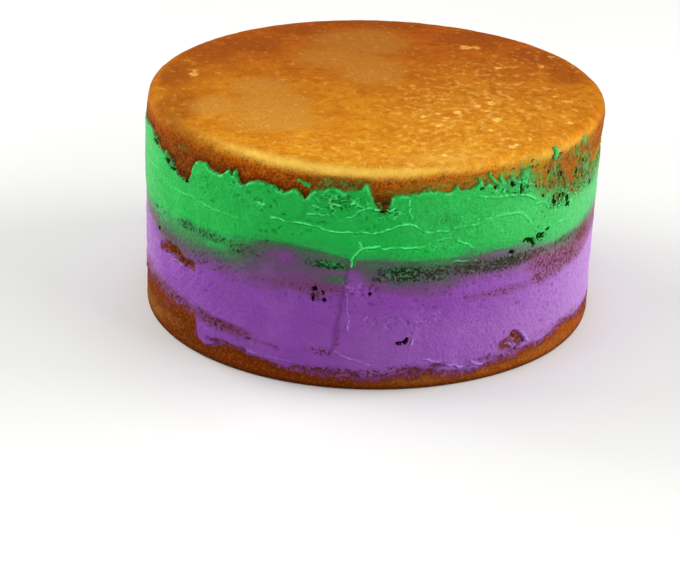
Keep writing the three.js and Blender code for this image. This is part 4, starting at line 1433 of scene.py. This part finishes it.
def crust_material():
    """Browned sponge: its top, its side, the pale rim that is partly a painted highlight,
    painted shade at the sides, and films of icing.
    """
    graph = Graph("baked_crust")
    mottle = graph.noise(5.0, detail=4, roughness=0.6)
    grain = graph.noise(1.0, roughness=0.65, shift=3.0)
    scatter = graph.noise(2.6, roughness=0.6, shift=1.0)
    # The rim strip: partly paler crust and partly a painted highlight
    worn = graph.paint("strip") * mottle.remap(0.25, 0.6, 1.0, 0.75)
    colour = layered(
        top_colour(graph, mottle, scatter),
        (graph.paint("side"), side_colour(graph, mottle, scatter, grain)),
        (worn, "#F6CB58"),
        (grain.remap(0.45, 0.75, 0.0, 0.45) * worn.remap(0.0, 0.8, 1.0, 0.25), "#6A3206"),
        # Painted shade at the crust's sides
        (graph.paint("side_shade") * 0.45, "#4E2204"),
    )
    return graph.surface(
        Base_Color=film_over(graph, colour, scatter),
        Roughness=mottle.remap(0.3, 0.7, 0.5, 0.72),
        Specular_IOR_Level=0.01,
        Normal=graph.bumps((grain, 0.4, 0.9), (scatter, 0.5, 0.6), (mottle, 0.6, 0.5)),
    )


def plain_material(name, colour, roughness):
    """A faintly uneven matt surface."""
    graph = Graph(name)
    uneven = graph.noise(300.0, detail=2).remap(0.2, 0.8, 0.0, 0.3)
    return graph.surface(Base_Color=uneven.mix(colour, "#F0EFED"), Roughness=roughness)


# Camera, lights and floor

def make_camera():
    """The camera at the photograph's place, aimed past the cake's foot."""
    rise = math.radians(CAMERA_ELEVATION)
    yaw, roll = math.radians(CAMERA_YAW), math.radians(CAMERA_ROLL)
    tip = -rise + math.radians(CAMERA_PITCH)
    ahead = Vector((math.sin(yaw) * math.cos(tip), math.cos(yaw) * math.cos(tip), math.sin(tip)))
    level = ahead.cross(Vector((0.0, 0.0, 1.0))).normalized()
    above = level.cross(ahead)
    right = level * math.cos(roll) + above * math.sin(roll)
    up = above * math.cos(roll) - level * math.sin(roll)
    camera_data = bpy.data.cameras.new("camera")
    camera_data.lens = CAMERA_LENS
    camera_data.sensor_width = SENSOR_WIDTH
    camera_data.clip_start, camera_data.clip_end = CAMERA_CLIP
    camera = bpy.data.objects.new("camera", camera_data)
    camera.matrix_world = Matrix((right, up, -ahead)).transposed().to_4x4()
    camera.location = Vector((
        -LEAN * LEAN_PIVOT,
        -CAMERA_DISTANCE * math.cos(rise),
        CAMERA_DISTANCE * math.sin(rise),
    )) * MM
    bpy.context.collection.objects.link(camera)
    bpy.context.scene.camera = camera


def make_light(name, place, size, power):
    """A soft square light of that size in metres, aimed at the cake's middle."""
    light_data = bpy.data.lights.new(name, "AREA")
    light_data.shape = "SQUARE"
    light_data.size = size
    light_data.energy = power
    light = bpy.data.objects.new(name, light_data)
    light.location = place
    aim = Vector((0.0, 0.0, LIGHT_AIM)) - Vector(place)
    light.rotation_mode = "QUATERNION"
    light.rotation_quaternion = aim.to_track_quat("-Z", "Y")
    bpy.context.collection.objects.link(light)


def make_studio():
    """A pale floor, soft side windows and a lamp overhead."""
    corners = np.array([(-1, -1, 0), (1, -1, 0), (1, 1, 0), (-1, 1, 0)]) * FLOOR_SIZE / 2 / MM
    floor = make_piece("floor", corners, [(0, 1, 2, 3)], plain_material("floor", "#E4E3E1", 0.7))
    for light in LIGHTS:
        make_light(*light)
    world = bpy.data.worlds.new("studio")
    world.use_nodes = True
    background = world.node_tree.nodes["Background"]
    background.inputs["Color"].default_value = (1.0, 1.0, 1.0, 1.0)
    background.inputs["Strength"].default_value = ROOM_LIGHT
    bpy.context.scene.world = world
    bpy.context.scene.view_settings.view_transform = "Standard"


# The cake

def make_cake():
    crust = crust_piece(crust_material())
    seam_over = [(a, z + SEAM_OVERLAP) for a, z in BAND_SEAM]
    purple = band_piece("purple_icing_coat", PURPLE_REACH, seam_over, purple_edge, [],
                        PURPLE_ROWS, icing_material("purple_icing"))
    green = band_piece("green_icing_coat", BAND_SEAM, GREEN_REACH, green_edge, GREEN_STRIPS,
                       GREEN_ROWS, icing_material("green_icing"))
    for piece, node, slot in ((crust, "cake", "crust"), (purple, "purple_icing", "purple_icing"),
                              (green, "green_icing", "green_icing")):
        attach(piece, "root")
        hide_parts(node)


make_camera()
make_studio()
make_cake()
